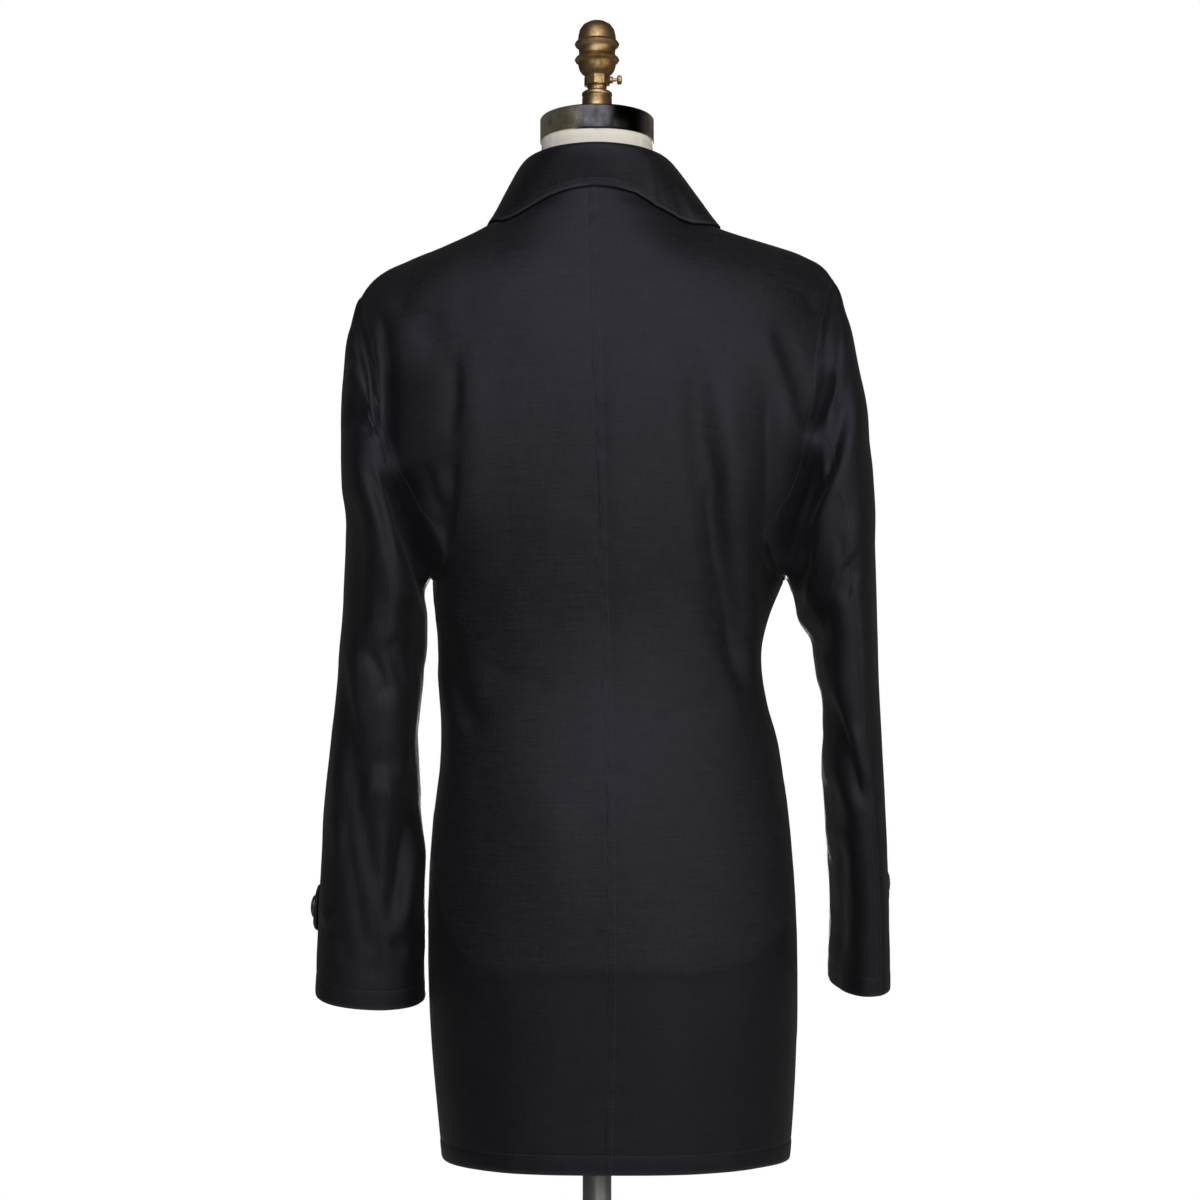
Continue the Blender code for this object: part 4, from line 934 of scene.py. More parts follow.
def worn_places(points, kinds):
    """How rubbed the cloth is: most at its free edges, least in its seams."""
    edges = edge_distances(points)
    worn = np.zeros(points.shape[:2])
    for edge in Edges._fields:
        distance = getattr(edges, edge)
        if getattr(kinds, edge) in SEAM_KINDS:
            worn = worn - SEAM_DARK * bump_at(distance, SEAM_REACH)
        else:
            worn = np.maximum(worn, bump_at(distance, WORN_REACH))
    return worn


def cloth_piece(name, outer, normals, thick, kinds, uv_from=(0.0, 0.0), unshaded_where_backed=0.6, painted_shadow_under=0.0):
    """A wool piece whose outer side is this grid, with what its finish goes by at each point: whether it is
    inside, how far another layer backs it (where nothing does, it is painted in shade), how deep in a hollow
    it lies (which sets the shade painted there, and, where asked, on its inside and rim too), and how worn it
    is."""
    moved, free = drawn_back(outer, kinds)
    obj, rim = cloth_wall(name, moved, normals, thick, free, WOOL)
    across, up = runs_along(outer, 1), runs_along(outer, 0)
    place = np.stack([across + uv_from[0], up + uv_from[1]], axis=-1).reshape(-1, 2)
    point_uv(obj.data, np.concatenate([place, place + INSIDE_UV, place[rim]]))
    nothing, whole = np.zeros(free.shape), np.ones(free.shape)
    # Painted shade: how far the cloth is darkened in the hollows, and on its inside and rim where asked, as
    # for the shadow under the collar's edge.
    hollow_painted_shade = np.minimum(sinking(outer) / HOLLOW_DEPTH, 1.0)
    under = np.maximum(hollow_painted_shade, painted_shadow_under)
    worn = worn_places(outer, kinds)
    for attribute, outside, inside, at_rim in (
        ("inside", nothing, whole, nothing),
        ("unshaded_where_backed", nothing + unshaded_where_backed, nothing + unshaded_where_backed, nothing + unshaded_where_backed),
        ("hollow_painted_shade", hollow_painted_shade, under, under),
        ("worn", worn, nothing, worn),
    ):
        values = np.concatenate([outside.ravel(), inside.ravel(), at_rim.ravel()[rim]])
        point_attribute(obj.data, attribute, values)
    return obj


THREAD_LIFT = 0.00005  # of a line of stitches over the cloth


def line_beside(points, normals, edge, distance):
    """The line on a grid that runs at this distance beside one of its edges."""
    raised = points + normals * THREAD_LIFT
    if edge in ("low", "high"):
        points, raised = np.swapaxes(points, 0, 1), np.swapaxes(raised, 0, 1)
    if edge in ("end", "high"):
        points, raised = points[:, ::-1], raised[:, ::-1]
    return np.array([line_at(row, run, distance) for run, row in zip(runs_along(points, 1), raised)])


def sewn_lines(points, normals, kinds):
    """The lines of stitching on a piece."""
    sewn = [(edge, getattr(kinds, edge)) for edge in Edges._fields]
    return [line_beside(points, normals, edge, SEWN_LINES[kind]) for edge, kind in sewn if kind in SEWN_LINES]


def dressed(points, normals, kinds, lift, seed, shown=1.0):
    """A grid with its folds, its sewn edges and their puckers, as far as these are shown."""
    edges = edge_distances(points)
    moved = lift.copy()
    for number, edge in enumerate(Edges._fields):
        kind, distance = getattr(kinds, edge), getattr(edges, edge)
        along = (2,) if edge in ("start", "end") else (0, 1)
        puckers = pucker_lift(points, distance, kind, along, seed + number)
        moved += (edge_lift(distance, kind) + puckers) * shown
    return points + normals * moved[..., None]


# ---------------------------------------------------------------- finishes


class Value:
    """A shader socket that can be reckoned with."""

    def __init__(self, tree, socket):
        self.tree = tree
        self.socket = socket

    def maths(self, operation, *others, flip=False):
        node = self.tree.nodes.new("ShaderNodeMath")
        node.operation = operation
        given = [self, *others][::-1] if flip else [self, *others]
        for socket, value in zip(node.inputs, given):
            connect(self.tree, socket, value)
        return Value(self.tree, node.outputs[0])

    def __add__(self, other):
        return self.maths("ADD", other)

    def __sub__(self, other):
        return self.maths("SUBTRACT", other)

    def __mul__(self, other):
        return self.maths("MULTIPLY", other)

    def __rsub__(self, other):
        return self.maths("SUBTRACT", other, flip=True)

    __radd__ = __add__
    __rmul__ = __mul__


def connect(tree, socket, value):
    """Gives a socket a value, or links it."""
    if isinstance(value, Value):
        tree.links.new(value.socket, socket)
    else:
        socket.default_value = value


MIX_SHARE, MIX_FIRST, MIX_SECOND, MIX_RESULT = 0, 6, 7, 2  # sockets of a colour mix


class Finish:
    """A material in the making; its nodes come from one call."""

    def __init__(self, name, **constants):
        self.material = bpy.data.materials.new(name)
        self.material.use_nodes = True
        self.tree = self.material.node_tree
        self.shader = self.tree.nodes["Principled BSDF"]
        for socket, value in constants.items():
            self.shader.inputs[socket.replace("_", " ")].default_value = value

    def node(self, kind, settings=(), output=0, **inputs):
        node = self.tree.nodes.new("ShaderNode" + kind)
        for setting, value in dict(settings).items():
            setattr(node, setting, value)
        for socket, value in inputs.items():
            connect(self.tree, node.inputs[socket.replace("_", " ")], value)
        return Value(self.tree, node.outputs[output])

    def place(self, scale, turn=(0, 0, 0), on="Object"):
        """Coordinates in metres, times this scale."""
        where = self.node("TexCoord", output=on)
        return self.node("Mapping", Vector=where, Scale=scale, Rotation=turn)

    def noise(self, scale, detail=2.0, rough=0.5, on="Object", turn=(0, 0, 0)):
        where = self.place(scale, turn, on)
        return self.node("TexNoise", Vector=where, Scale=1.0, Detail=detail, Roughness=rough)

    def wave(self, scale, direction, distortion=0.0):
        settings = {"wave_type": "BANDS", "bands_direction": direction, "wave_profile": "SIN"}
        where = self.place(scale, on="UV")
        return self.node("TexWave", settings, Vector=where, Scale=1.0, Distortion=distortion, Detail=1.0)

    def attribute(self, name):
        return self.node("Attribute", {"attribute_name": name}, output="Fac")

    def mix(self, share, first, second):
        """Two colours, mixed."""
        node = self.tree.nodes.new("ShaderNodeMix")
        node.data_type = "RGBA"
        for socket, value in ((MIX_SHARE, share), (MIX_FIRST, first), (MIX_SECOND, second)):
            value = (*value, 1.0) if isinstance(value, tuple) else value
            connect(self.tree, node.inputs[socket], value)
        return Value(self.tree, node.outputs[MIX_RESULT])

    def clamp(self, value, low=0.0, high=1.0):
        return self.node("Clamp", Value=value, Min=low, Max=high)

    def bump(self, height, distance, strength=1.0, over=None):
        inputs = {"Normal": over} if over is not None else {}
        return self.node("Bump", Height=height, Distance=distance, Strength=strength, **inputs)

    def done(self, **values):
        for socket, value in values.items():
            connect(self.tree, self.shader.inputs[socket.replace("_", " ")], value)
        return self.material


# The colour that painted shade darkens the wool towards.
PAINTED_SHADE_BLACK = (0.0, 0.0, 0.0)


def wool_finish():
    """Fine near-black navy wool: a close twill with crosswise slubs, a soft sheen, worn edges, and painted
    shade where nothing backs it and in its hollows.
    """
    made = Finish(
        "wool",
        Sheen_Weight=0.03,
        Sheen_Roughness=0.42,
        Sheen_Tint=(0.90, 0.90, 0.92, 1.0),
        Specular_IOR_Level=0.25,
        Specular_Tint=(0.80, 0.79, 1.0, 1.0),
    )
    twill = made.wave((2600, 2600, 1), "DIAGONAL")
    threads = made.wave((3400, 3400, 1), "Y", distortion=1.2)
    slubs = made.noise((70, 800, 1), 2.0, 0.6, on="UV")
    long_slubs = made.noise((22, 420, 1), 2.0, 0.55, on="UV")
    warp = made.noise((800, 50, 1), 2.0, 0.6, on="UV")
    nap = made.noise((900, 900, 900), 2.0, 0.6)
    clouds = made.noise((9, 9, 7), 3.0, 0.55)
    inside, worn, hollow_painted_shade = made.attribute("inside"), made.attribute("worn"), made.attribute("hollow_painted_shade")
    tone = made.clamp(1.1 * slubs + 0.75 * long_slubs + 0.8 * warp + 0.5 * clouds + 0.10 * nap - 1.22)
    wool = made.mix(tone, (0.0014, 0.0014, 0.0015), (0.0118, 0.0116, 0.0126))
    # Painted shade: where nothing backs the cloth, its colour is taken half way to black.
    wool = made.mix(made.attribute("unshaded_where_backed"), made.mix(0.5, wool, PAINTED_SHADE_BLACK), wool)
    wool = made.mix(made.clamp(worn * 0.35), wool, (0.040, 0.040, 0.048))
    # Painted shade: the hollows are darkened almost to black.
    wool = made.mix(hollow_painted_shade * 0.95, wool, PAINTED_SHADE_BLACK)
    lining = made.mix(made.noise((30, 30, 30)), (0.009, 0.009, 0.014), (0.016, 0.016, 0.024))
    colour = made.mix(inside, wool, lining)
    rough = made.clamp(0.42 + 0.20 * slubs + 0.08 * clouds - 0.05 * nap + 0.4 * hollow_painted_shade)
    rough = rough * (1 - inside) + 0.34 * inside
    weave = made.bump(threads * 0.5 + twill * 0.35 + slubs * 1.2, 0.00008, 0.55)
    surface = made.bump(long_slubs + 0.5 * nap, 0.00022, 0.5, over=weave)
    return made.done(Base_Color=colour, Roughness=rough, Normal=surface)


def thread_finish():
    """Dark buttonhole twist."""
    made = Finish("thread", Specular_IOR_Level=0.35)
    ply = made.noise((2500, 2500, 2500), 1.0)
    colour = made.mix(ply, (0.012, 0.012, 0.016), (0.036, 0.036, 0.044))
    return made.done(Base_Color=colour, Roughness=0.45 + 0.15 * ply)


def linen_finish():
    """Cream linen, plain woven and stretched smooth."""
    made = Finish("linen", Sheen_Weight=0.08, Sheen_Roughness=0.5, Specular_IOR_Level=0.25)
    warp = made.wave((900, 900, 1), "X", distortion=1.5)
    weft = made.wave((900, 900, 1), "Y", distortion=1.5)
    slubs = made.noise((90, 700, 1), 2.0, 0.6, on="UV")
    age = made.noise((14, 14, 14), 3.0)
    tone = made.clamp(0.25 + 0.35 * slubs + 0.30 * age + 0.10 * warp + 0.10 * weft)
    colour = made.mix(tone, (0.70, 0.64, 0.52), (0.86, 0.82, 0.72))
    surface = made.bump(warp + weft + slubs, 0.0002, 0.6)
    return made.done(Base_Color=colour, Roughness=0.78 + 0.12 * slubs, Normal=surface)


def brass_finish():
    """Aged brass: brown in patches and specked, brighter between them."""
    made = Finish("brass", Metallic=1.0)
    stain = made.noise((55, 55, 40), 4.0, 0.6)
    specks = made.noise((420, 420, 420), 2.0, 0.6)
    tone = made.clamp((stain - 0.32) * 2.4)
    colour = made.mix(tone, (0.17, 0.100, 0.040), (0.54, 0.385, 0.190))
    colour = made.mix(made.clamp((specks - 0.54) * 4.0), colour, (0.10, 0.060, 0.028))
    surface = made.bump(specks + stain, 0.00012, 0.5)
    rough = made.clamp(0.46 - 0.16 * tone + 0.12 * specks)
    return made.done(Base_Color=colour, Roughness=rough, Normal=surface)


def chrome_finish():
    """Polished chrome with faint wiping marks, painted with dark and warm reflections in bands and patches.
    """
    made = Finish("chrome", Metallic=1.0)
    marks = made.noise((60, 60, 900), 3.0, 0.6)
    smears = made.noise((35, 35, 25), 3.0)
    patches = made.noise((130, 130, 110), 3.0, 0.6)
    clean = made.mix(smears, (0.55, 0.57, 0.64), (0.80, 0.82, 0.88))
    warm = made.mix(patches, (0.78, 0.70, 0.46), (0.99, 0.92, 0.68))
    # Painted reflection: warm tones in bands round the ring, from a table.
    colour = made.mix(made.attribute("painted_warm_reflection"), clean, warm)
    # Painted reflection: dark bands, broken up in patches, for where the ring would mirror a dark room.
    painted_dark_reflection = made.attribute("painted_dark_reflection")
    painted_dark_reflection = made.clamp(painted_dark_reflection + (patches - 0.5) * (1 - painted_dark_reflection) * 2.2)
    colour = made.mix(painted_dark_reflection, colour, (0.003, 0.0028, 0.002))
    surface = made.bump(marks, 0.00003, 0.4)
    rough = made.clamp(0.12 + 0.20 * smears + 0.05 * marks)
    return made.done(Base_Color=colour, Roughness=rough, Normal=surface)


def steel_finish():
    """Satin grey paint on steel."""
    made = Finish("steel", Metallic=0.6, Coat_Roughness=0.3)
    orange_peel = made.noise((260, 260, 260), 2.0)
    wear = made.noise((18, 18, 18), 4.0)
    colour = made.mix(wear, (0.20, 0.20, 0.21), (0.29, 0.29, 0.30))
    surface = made.bump(orange_peel, 0.00012, 0.4)
    return made.done(Base_Color=colour, Roughness=made.clamp(0.34 + 0.20 * wear), Normal=surface)


def horn_finish():
    """Dark brown horn, streaked and softly polished."""
    made = Finish("horn", Coat_Weight=0.25, Coat_Roughness=0.18, Specular_IOR_Level=0.5)
    streaks = made.noise((160, 160, 36), 3.0, 0.6, turn=(0.4, 0.3, 0.2))
    grain = made.noise((900, 900, 260), 2.0, 0.5)
    colour = made.mix(made.clamp((streaks - 0.3) * 2.2), (0.014, 0.009, 0.007), (0.070, 0.044, 0.027))
    surface = made.bump(grain, 0.00005, 0.5)
    return made.done(Base_Color=colour, Roughness=made.clamp(0.22 + 0.16 * grain), Normal=surface)


WOOL, THREAD, LINEN = wool_finish(), thread_finish(), linen_finish()
BRASS, CHROME, STEEL, HORN = brass_finish(), chrome_finish(), steel_finish(), horn_finish()

# ---------------------------------------------------------------- stitches


STITCH_PITCH, STITCH_LENGTH, STITCH_THICK = 0.0032, 0.0026, 0.0005


def stitch_tree():
    """Stitches set one after another along a line."""
    tree = bpy.data.node_groups.new("running stitch", "GeometryNodeTree")
    tree.interface.new_socket(name="Geometry", in_out="INPUT", socket_type="NodeSocketGeometry")
    tree.interface.new_socket(name="Geometry", in_out="OUTPUT", socket_type="NodeSocketGeometry")
    for name, size in (("Pitch", STITCH_PITCH), ("Length", STITCH_LENGTH), ("Thickness", STITCH_THICK)):
        socket = tree.interface.new_socket(name=name, in_out="INPUT", socket_type="NodeSocketFloat")
        socket.default_value = size

    def node(kind, **settings):
        made = tree.nodes.new(kind)
        for setting, value in settings.items():
            setattr(made, setting, value)
        return made

    given, result = node("NodeGroupInput"), node("NodeGroupOutput")
    to_curve = node("GeometryNodeMeshToCurve")
    resample = node("GeometryNodeResampleCurve", mode="LENGTH")
    ball = node("GeometryNodeMeshIcoSphere")
    ball.inputs["Subdivisions"].default_value = 1
    ball.inputs["Radius"].default_value = 0.5
    size = node("ShaderNodeCombineXYZ")
    tangent = node("GeometryNodeInputTangent")
    turn = node("FunctionNodeAlignRotationToVector", axis="Z")
    place = node("GeometryNodeInstanceOnPoints")
    realize = node("GeometryNodeRealizeInstances")
    finish = node("GeometryNodeSetMaterial")
    smooth = node("GeometryNodeSetShadeSmooth")
    finish.inputs["Material"].default_value = THREAD
    for source, target in (
        (given.outputs["Geometry"], to_curve.inputs["Mesh"]),
        (to_curve.outputs["Curve"], resample.inputs["Curve"]),
        (given.outputs["Pitch"], resample.inputs["Length"]),
        (resample.outputs["Curve"], place.inputs["Points"]),
        (ball.outputs["Mesh"], place.inputs["Instance"]),
        (tangent.outputs["Tangent"], turn.inputs["Vector"]),
        (turn.outputs["Rotation"], place.inputs["Rotation"]),
        (given.outputs["Thickness"], size.inputs["X"]),
        (given.outputs["Thickness"], size.inputs["Y"]),
        (given.outputs["Length"], size.inputs["Z"]),
        (size.outputs["Vector"], place.inputs["Scale"]),
        (place.outputs["Instances"], realize.inputs["Geometry"]),
        (realize.outputs["Geometry"], smooth.inputs["Geometry"]),
        (smooth.outputs["Geometry"], finish.inputs["Geometry"]),
        (finish.outputs["Geometry"], result.inputs["Geometry"]),
    ):
        tree.links.new(source, target)
    return tree


STITCHES = stitch_tree()


def stitched(name, lines, pitch=STITCH_PITCH, length=STITCH_LENGTH, thick=STITCH_THICK):
    """A piece made of stitches along these lines."""
    points = np.concatenate(lines)
    edges, first = [], 0
    for line in lines:
        edges += [(first + number, first + number + 1) for number in range(len(line) - 1)]
        first += len(line)
    mesh = bpy.data.meshes.new(name)
    mesh.from_pydata(points.tolist(), edges, [])
    guide = link(bpy.data.objects.new(name + "_line", mesh))
    modifier = guide.modifiers.new("Stitches", "NODES")
    modifier.node_group = STITCHES
    for socket, value in (("Pitch", pitch), ("Length", length), ("Thickness", thick)):
        modifier[STITCHES.interface.items_tree[socket].identifier] = value
    bpy.context.view_layer.update()
    evaluated = guide.evaluated_get(bpy.context.evaluated_depsgraph_get())
    finished = bpy.data.meshes.new_from_object(evaluated)
    finished.name = name
    bpy.data.objects.remove(guide)
    return link(bpy.data.objects.new(name, finished))


# ---------------------------------------------------------------- the coat

# A cloth piece laid flat, as far as it shows between its seam lines and folded edges.
Cut = namedtuple("Cut", "width length area")


def finish_cloth(name, obj, lines, held, rests_on, **stitch_size):
    """Stitches a cloth piece along these lines and sets it and its stitches on the root in place of its
    stand-in; held and rests_on are not used.
    """
    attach(obj, "root")
    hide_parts(name)
    if lines:
        sewing = stitched(f"stitches_{name}", lines, **stitch_size)
        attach(sewing, "root")


QUARTER_WIDTH = 0.205  # rough width of a quarter, which its columns are spaced by
OVERLAP = FRONT_OVERLAP / RINGS[0].left * 0.5  # how far each front runs past the centre, in such widths


def body_columns(face):
    """The columns of a quarter: 0 is the centre and 1 the side seam and armhole."""
    past = 0.0 if face == "back" else OVERLAP
    return spaced(QUARTER_WIDTH * (1 + past), EDGE_STEPS, EDGE_STEPS) / QUARTER_WIDTH - past


LAP_END, LAP_SLOPE = 0.28, 0.2  # columns up to which, and over which, the left front comes out from the lap


def body_grids():
    """The backs and the fronts before their creases: points and normals, keyed by (face, side)."""
    heights = spaced(BODY_HEIGHT, HEM_STEPS, EDGE_STEPS)
    grids = {}
    for side, face in QUARTERS:
        columns = body_columns(face)
        points = quarter_surface(side, face, columns, heights)
        normals = grid_normals(points, points * (1, 1, 0))
        if (face, side) == ("front", "left"):
            under = smooth_step((LAP_END - columns) / LAP_SLOPE)[None, :, None]
            points = points - normals * UNDERLAP * under
            normals = grid_normals(points, points * (1, 1, 0))
        if face == "back":
            points = points + sinking(points)[..., None] * (0, 1, 0)
            normals = grid_normals(points, points * (1, 1, 0))
        grids[face, side] = (points, normals)
    share_edge_normals(grids.values())
    return heights, grids


ARMHOLE_START, ARMHOLE_GROWN = 0.004, 0.012  # heights over the armpit at which the armhole's stitches grow
ARMHOLE_QUIET = 0.010  # distance from the armhole within which there are no creases
LINE_START = 0.006  # height over the armpit at which the line of stitches starts
SHADE_BELOW_FORM_FADE = 0.010  # height, about the form's lower edge, over which the form comes to back the cloth and the painted shade below it fades out


def add_body():
    """The backs and the fronts; returns their points and normals, keyed by (face, side)."""
    heights, grids = body_grids()
    in_armhole = smooth_step((heights - SKIRT_HEIGHT - ARMHOLE_START) / ARMHOLE_GROWN)[:, None]
    for number, ((face, side), (points, normals)) in enumerate(list(grids.items())):
        name = f"{face}_{side}"
        centre = {"back_left": "under", "back_right": "stitched"}.get(name, "edge")
        kinds = Edges(centre, "plain", "hem", "plain")
        distance = edge_distances(points).end
        quiet = 1 - in_armhole * (1 - smooth_step(distance / ARMHOLE_QUIET))
        lift = body_lift(points, normals) * quiet
        sewn = edge_lift(distance, "stitched") - edge_lift(distance, "plain")
        sewn = sewn + pucker_lift(points, distance, "stitched", (2,), 31 + number)
        shape = dressed(points, normals, kinds, lift + sewn * in_armhole, 41 + 7 * number)
        lines = sewn_lines(shape, normals, kinds)
        lines.append(line_beside(shape, normals, "end", STITCH_IN)[heights > SKIRT_HEIGHT + LINE_START])
        # Painted shade: the cloth below the form's lower edge is painted darker.
        unshaded_where_backed = smooth_step(above_form_edge(points) / SHADE_BELOW_FORM_FADE + 0.5)
        obj = cloth_piece(f"coat_{name}", shape, normals, CLOTH, kinds, (0.31 * number, 0.0), unshaded_where_backed)
        finish_cloth(name, obj, lines, "draped", ["form_body"])
        grids[face, side] = (shape, normals)
    return grids


SLEEVE_WIDTH = 0.34  # rough way round a sleeve, which its columns are spaced by
SLEEVE_BACK_SEAM = {"left": "plain", "right": "stitched"}


def sleeve_shares(side, piece):
    back, front = SLEEVE_SEAMS[side]
    start, end = (front, 1 + back) if piece == "top" else (back, front)
    width = (end - start) * SLEEVE_WIDTH
    return start + spaced(width, EDGE_STEPS, EDGE_STEPS) / width * (end - start)


def sleeve_axis(side, drops):
    """The middle of a sleeve at each row."""
    around = np.linspace(0, 1, SLEEVE_SIDES, endpoint=False)
    return sleeve_surface(side, around, drops).mean(axis=1, keepdims=True)


UNDER_TAB, UNDER_TAB_SLOPE = 0.012, 0.010  # how far past the strap the cloth is flat, and how soon


def under_tab(side, drops):
    """Where the strap covers a sleeve, from 0 to 1, so that the cloth stays flat under it."""
    low, high = TAB_HEIGHT[side]
    heights = drops[-1] - drops + SLEEVES[side][-1].out_z
    over_low = smooth_step((heights - low + UNDER_TAB) / UNDER_TAB_SLOPE)
    return (over_low * smooth_step((high + UNDER_TAB - heights) / UNDER_TAB_SLOPE))[:, None]


SLEEVE_QUIET = 0.012  # distance from the armhole over which the creases grow
SEWN_SHARE, SEWN_GROWN = 0.6, 0.04  # how strongly a sleeve's seams show, and where they reach that
LINE_FROM_CAP = 0.03


def add_sleeves():
    for number, side in enumerate(SIDES):
        drops = spaced(sleeve_knots(side)[-1], EDGE_STEPS, HEM_STEPS)
        axis = sleeve_axis(side, drops)
        grids = {}
        for piece in ("top", "under"):
            points = sleeve_surface(side, sleeve_shares(side, piece), drops)
            points = points + sinking(points)[..., None] * (0, 1, 0)
            grids[piece] = (points, grid_normals(points, points - axis))
        share_edge_normals(grids.values())
        for piece, (points, normals) in grids.items():
            name = f"sleeve_{piece}_{side}"
            ends = ("plain", SLEEVE_BACK_SEAM[side]) if piece == "top" else ("under", "plain")
            kinds = Edges(*ends, "plain", "hem")
            grown = smooth_step(drops / SLEEVE_QUIET)[:, None]
            on_front = smooth_step((normals[..., 1] + 0.2) / 0.3)
            lift = sleeve_lift(points, normals) * grown * (1 - under_tab(side, drops) * on_front)
            shown = SEWN_SHARE * smooth_step(drops / SEWN_GROWN)[:, None]
            shape = dressed(points, normals, kinds, lift, 91 + 7 * number, shown)
            obj = cloth_piece(f"coat_{name}", shape, normals, CLOTH, kinds, (0.43 * number, 0.17))
            lines = sewn_lines(shape, normals, kinds)
            lines = [line[drops > LINE_FROM_CAP] if len(line) == len(drops) else line for line in lines]
            finish_cloth(name, obj, lines, "hung", [f"back_{side}", f"front_{side}"])


def neckline(grids):
    """Points along the whole neckline, from the left front point round the nape to the right one, and their
    shares of the way from the nape, below 0 on the left."""
    seam = []
    for face, side, outwards in NECKLINE:
        points = grids[face, side][0][-1]
        columns = body_columns(face)
        kept = points[(columns >= 0) & (columns <= NECK_SHARE)]
        seam.append(kept if outwards else kept[::-1])
    seam = np.concatenate(seam)
    run = lengths_along(seam[:, None])
    places = spaced(run[-1], EDGE_STEPS, EDGE_STEPS)
    nape = run[np.abs(seam - NAPE).sum(axis=1).argmin()]
    return line_at(seam, run, places), np.interp(places, [0, nape, run[-1]], [-1, 0, 1])


def laid_on(grids, points, clear):
    """These points, moved to lie this far off the nearest piece."""
    corners, cells = [], []
    for grid, _ in grids:
        rows, columns = grid.shape[:2]
        cells += grid_faces(len(corners) + np.arange(rows * columns).reshape(rows, columns)).tolist()
        corners += grid.reshape(-1, 3).tolist()
    tree = BVHTree.FromPolygons(corners, cells)
    laid = []
    for point in points:
        spot, normal = tree.find_nearest(Vector(point))[:2]
        outward = 1 if normal.dot(spot - Vector(BODY_MIDDLE)) > 0 else -1
        laid.append(spot + normal * (outward * clear))
    return np.array(laid)


STAND_ROWS = 18
FALL_LENGTH = 0.06  # rough length of the fall, which its rows are spaced by
FALL_STEPS, FALL_STEP = (0.0, 0.0012, 0.0026, 0.0042), 0.0030
FALL_PULL = 1.1  # how strongly the fall's end keeps to the straight way from the fold to its edge
NECK_MIDDLE = (0, 0.01, 0)  # the fold faces away from here, its height left aside
LUMPS_START, LUMPS_GROWN = 20, 12  # row where the fall's unevenness starts, and how many rows it grows over


def add_collar(grids):
    seam, place = neckline(grids)
    stations = np.array([station[1:] for station in COLLAR])
    nape_way = (stations[1] - stations[0]) / COLLAR[1].share * NAPE_WAY
    guides = curve_through(stations, [station.share for station in COLLAR], np.abs(place), start=nape_way)
    fold_x, fold_y, fold_z, left_x, right_x, edge_y, edge_z = guides.T
    fold = np.stack([np.where(place < 0, -fold_x, fold_x), fold_y, fold_z], axis=-1)
    edge = np.stack([np.where(place < 0, -left_x, right_x), edge_y, edge_z], axis=-1)
    edge = laid_on(grids.values(), edge, COLLAR_CLOTH + COLLAR_GAP)
    out = unit((fold - NECK_MIDDLE) * (1, 1, 0))
    start = seam - out * COLLAR_CLOTH + (0, 0, STAND_LIFT)
    rise = np.linalg.norm(fold - start, axis=1, keepdims=True)
    way_up = np.linspace(0, 1, STAND_ROWS)
    stand = curve_through([start, fold], [0, 1], way_up, rise * (0, 0, 1), out * FOLD_ROUND)
    way_down = spaced(FALL_LENGTH, FALL_STEPS, EDGE_STEPS, FALL_STEP) / FALL_LENGTH
    fall = curve_through([fold, edge], [0, 1], way_down, out * FOLD_ROUND, (edge - fold) * FALL_PULL)
    points = np.concatenate([stand, fall[1:]])
    outward = np.zeros(points.shape)
    outward[-1] = out
    normals = grid_normals(points, outward)
    kinds = Edges("edge", "edge", "plain", "edge")
    on_fall = smooth_step((np.arange(len(points)) - LUMPS_START) / LUMPS_GROWN)[:, None]
    shape = dressed(points, normals, kinds, on_fall * lumps(points, COLLAR_LUMPS), 131)
    # The collar's inside and rim are painted in shade, for the shadow under its edge.
    obj = cloth_piece("coat_collar", shape, normals, COLLAR_CLOTH, kinds, (0.05, 0.63), painted_shadow_under=1.0)
    lines = [line_beside(shape, normals, edge, STITCH_IN) for edge in ("start", "end", "high")]
    finish_cloth("collar", obj, lines, "folded", ["back_left", "back_right"])


TAB_AROUND = 0.30  # rough way round the cuff, which the strap's columns are spaced by
TAB_EDGE_STEPS, TAB_STEP = (0.0, 0.0007, 0.0018, 0.0034, 0.0050), 0.0026
TAB_SEAM_STEPS = (0.0, 0.0008, 0.002)
TAB_POINT = 0.14  # share of the strap's length that narrows to its point
TAB_NARROWED, TAB_POINT_BEND = 0.42, 1.6  # how much narrower its end is, and how round it gets there
TAB_STITCH_IN, TAB_PITCH, TAB_STITCH_LENGTH = 0.0045, 0.0026, 0.0021
TAB_CORNER = 3  # grid points at each end of its stitching that are left out
TAB_GROOVE, TAB_GROOVE_REACH = 0.0005, 0.0011
TAB_RISE, TAB_RISE_END = 0.0009, 0.06  # height that the strap gains past its seam, and where it is gained


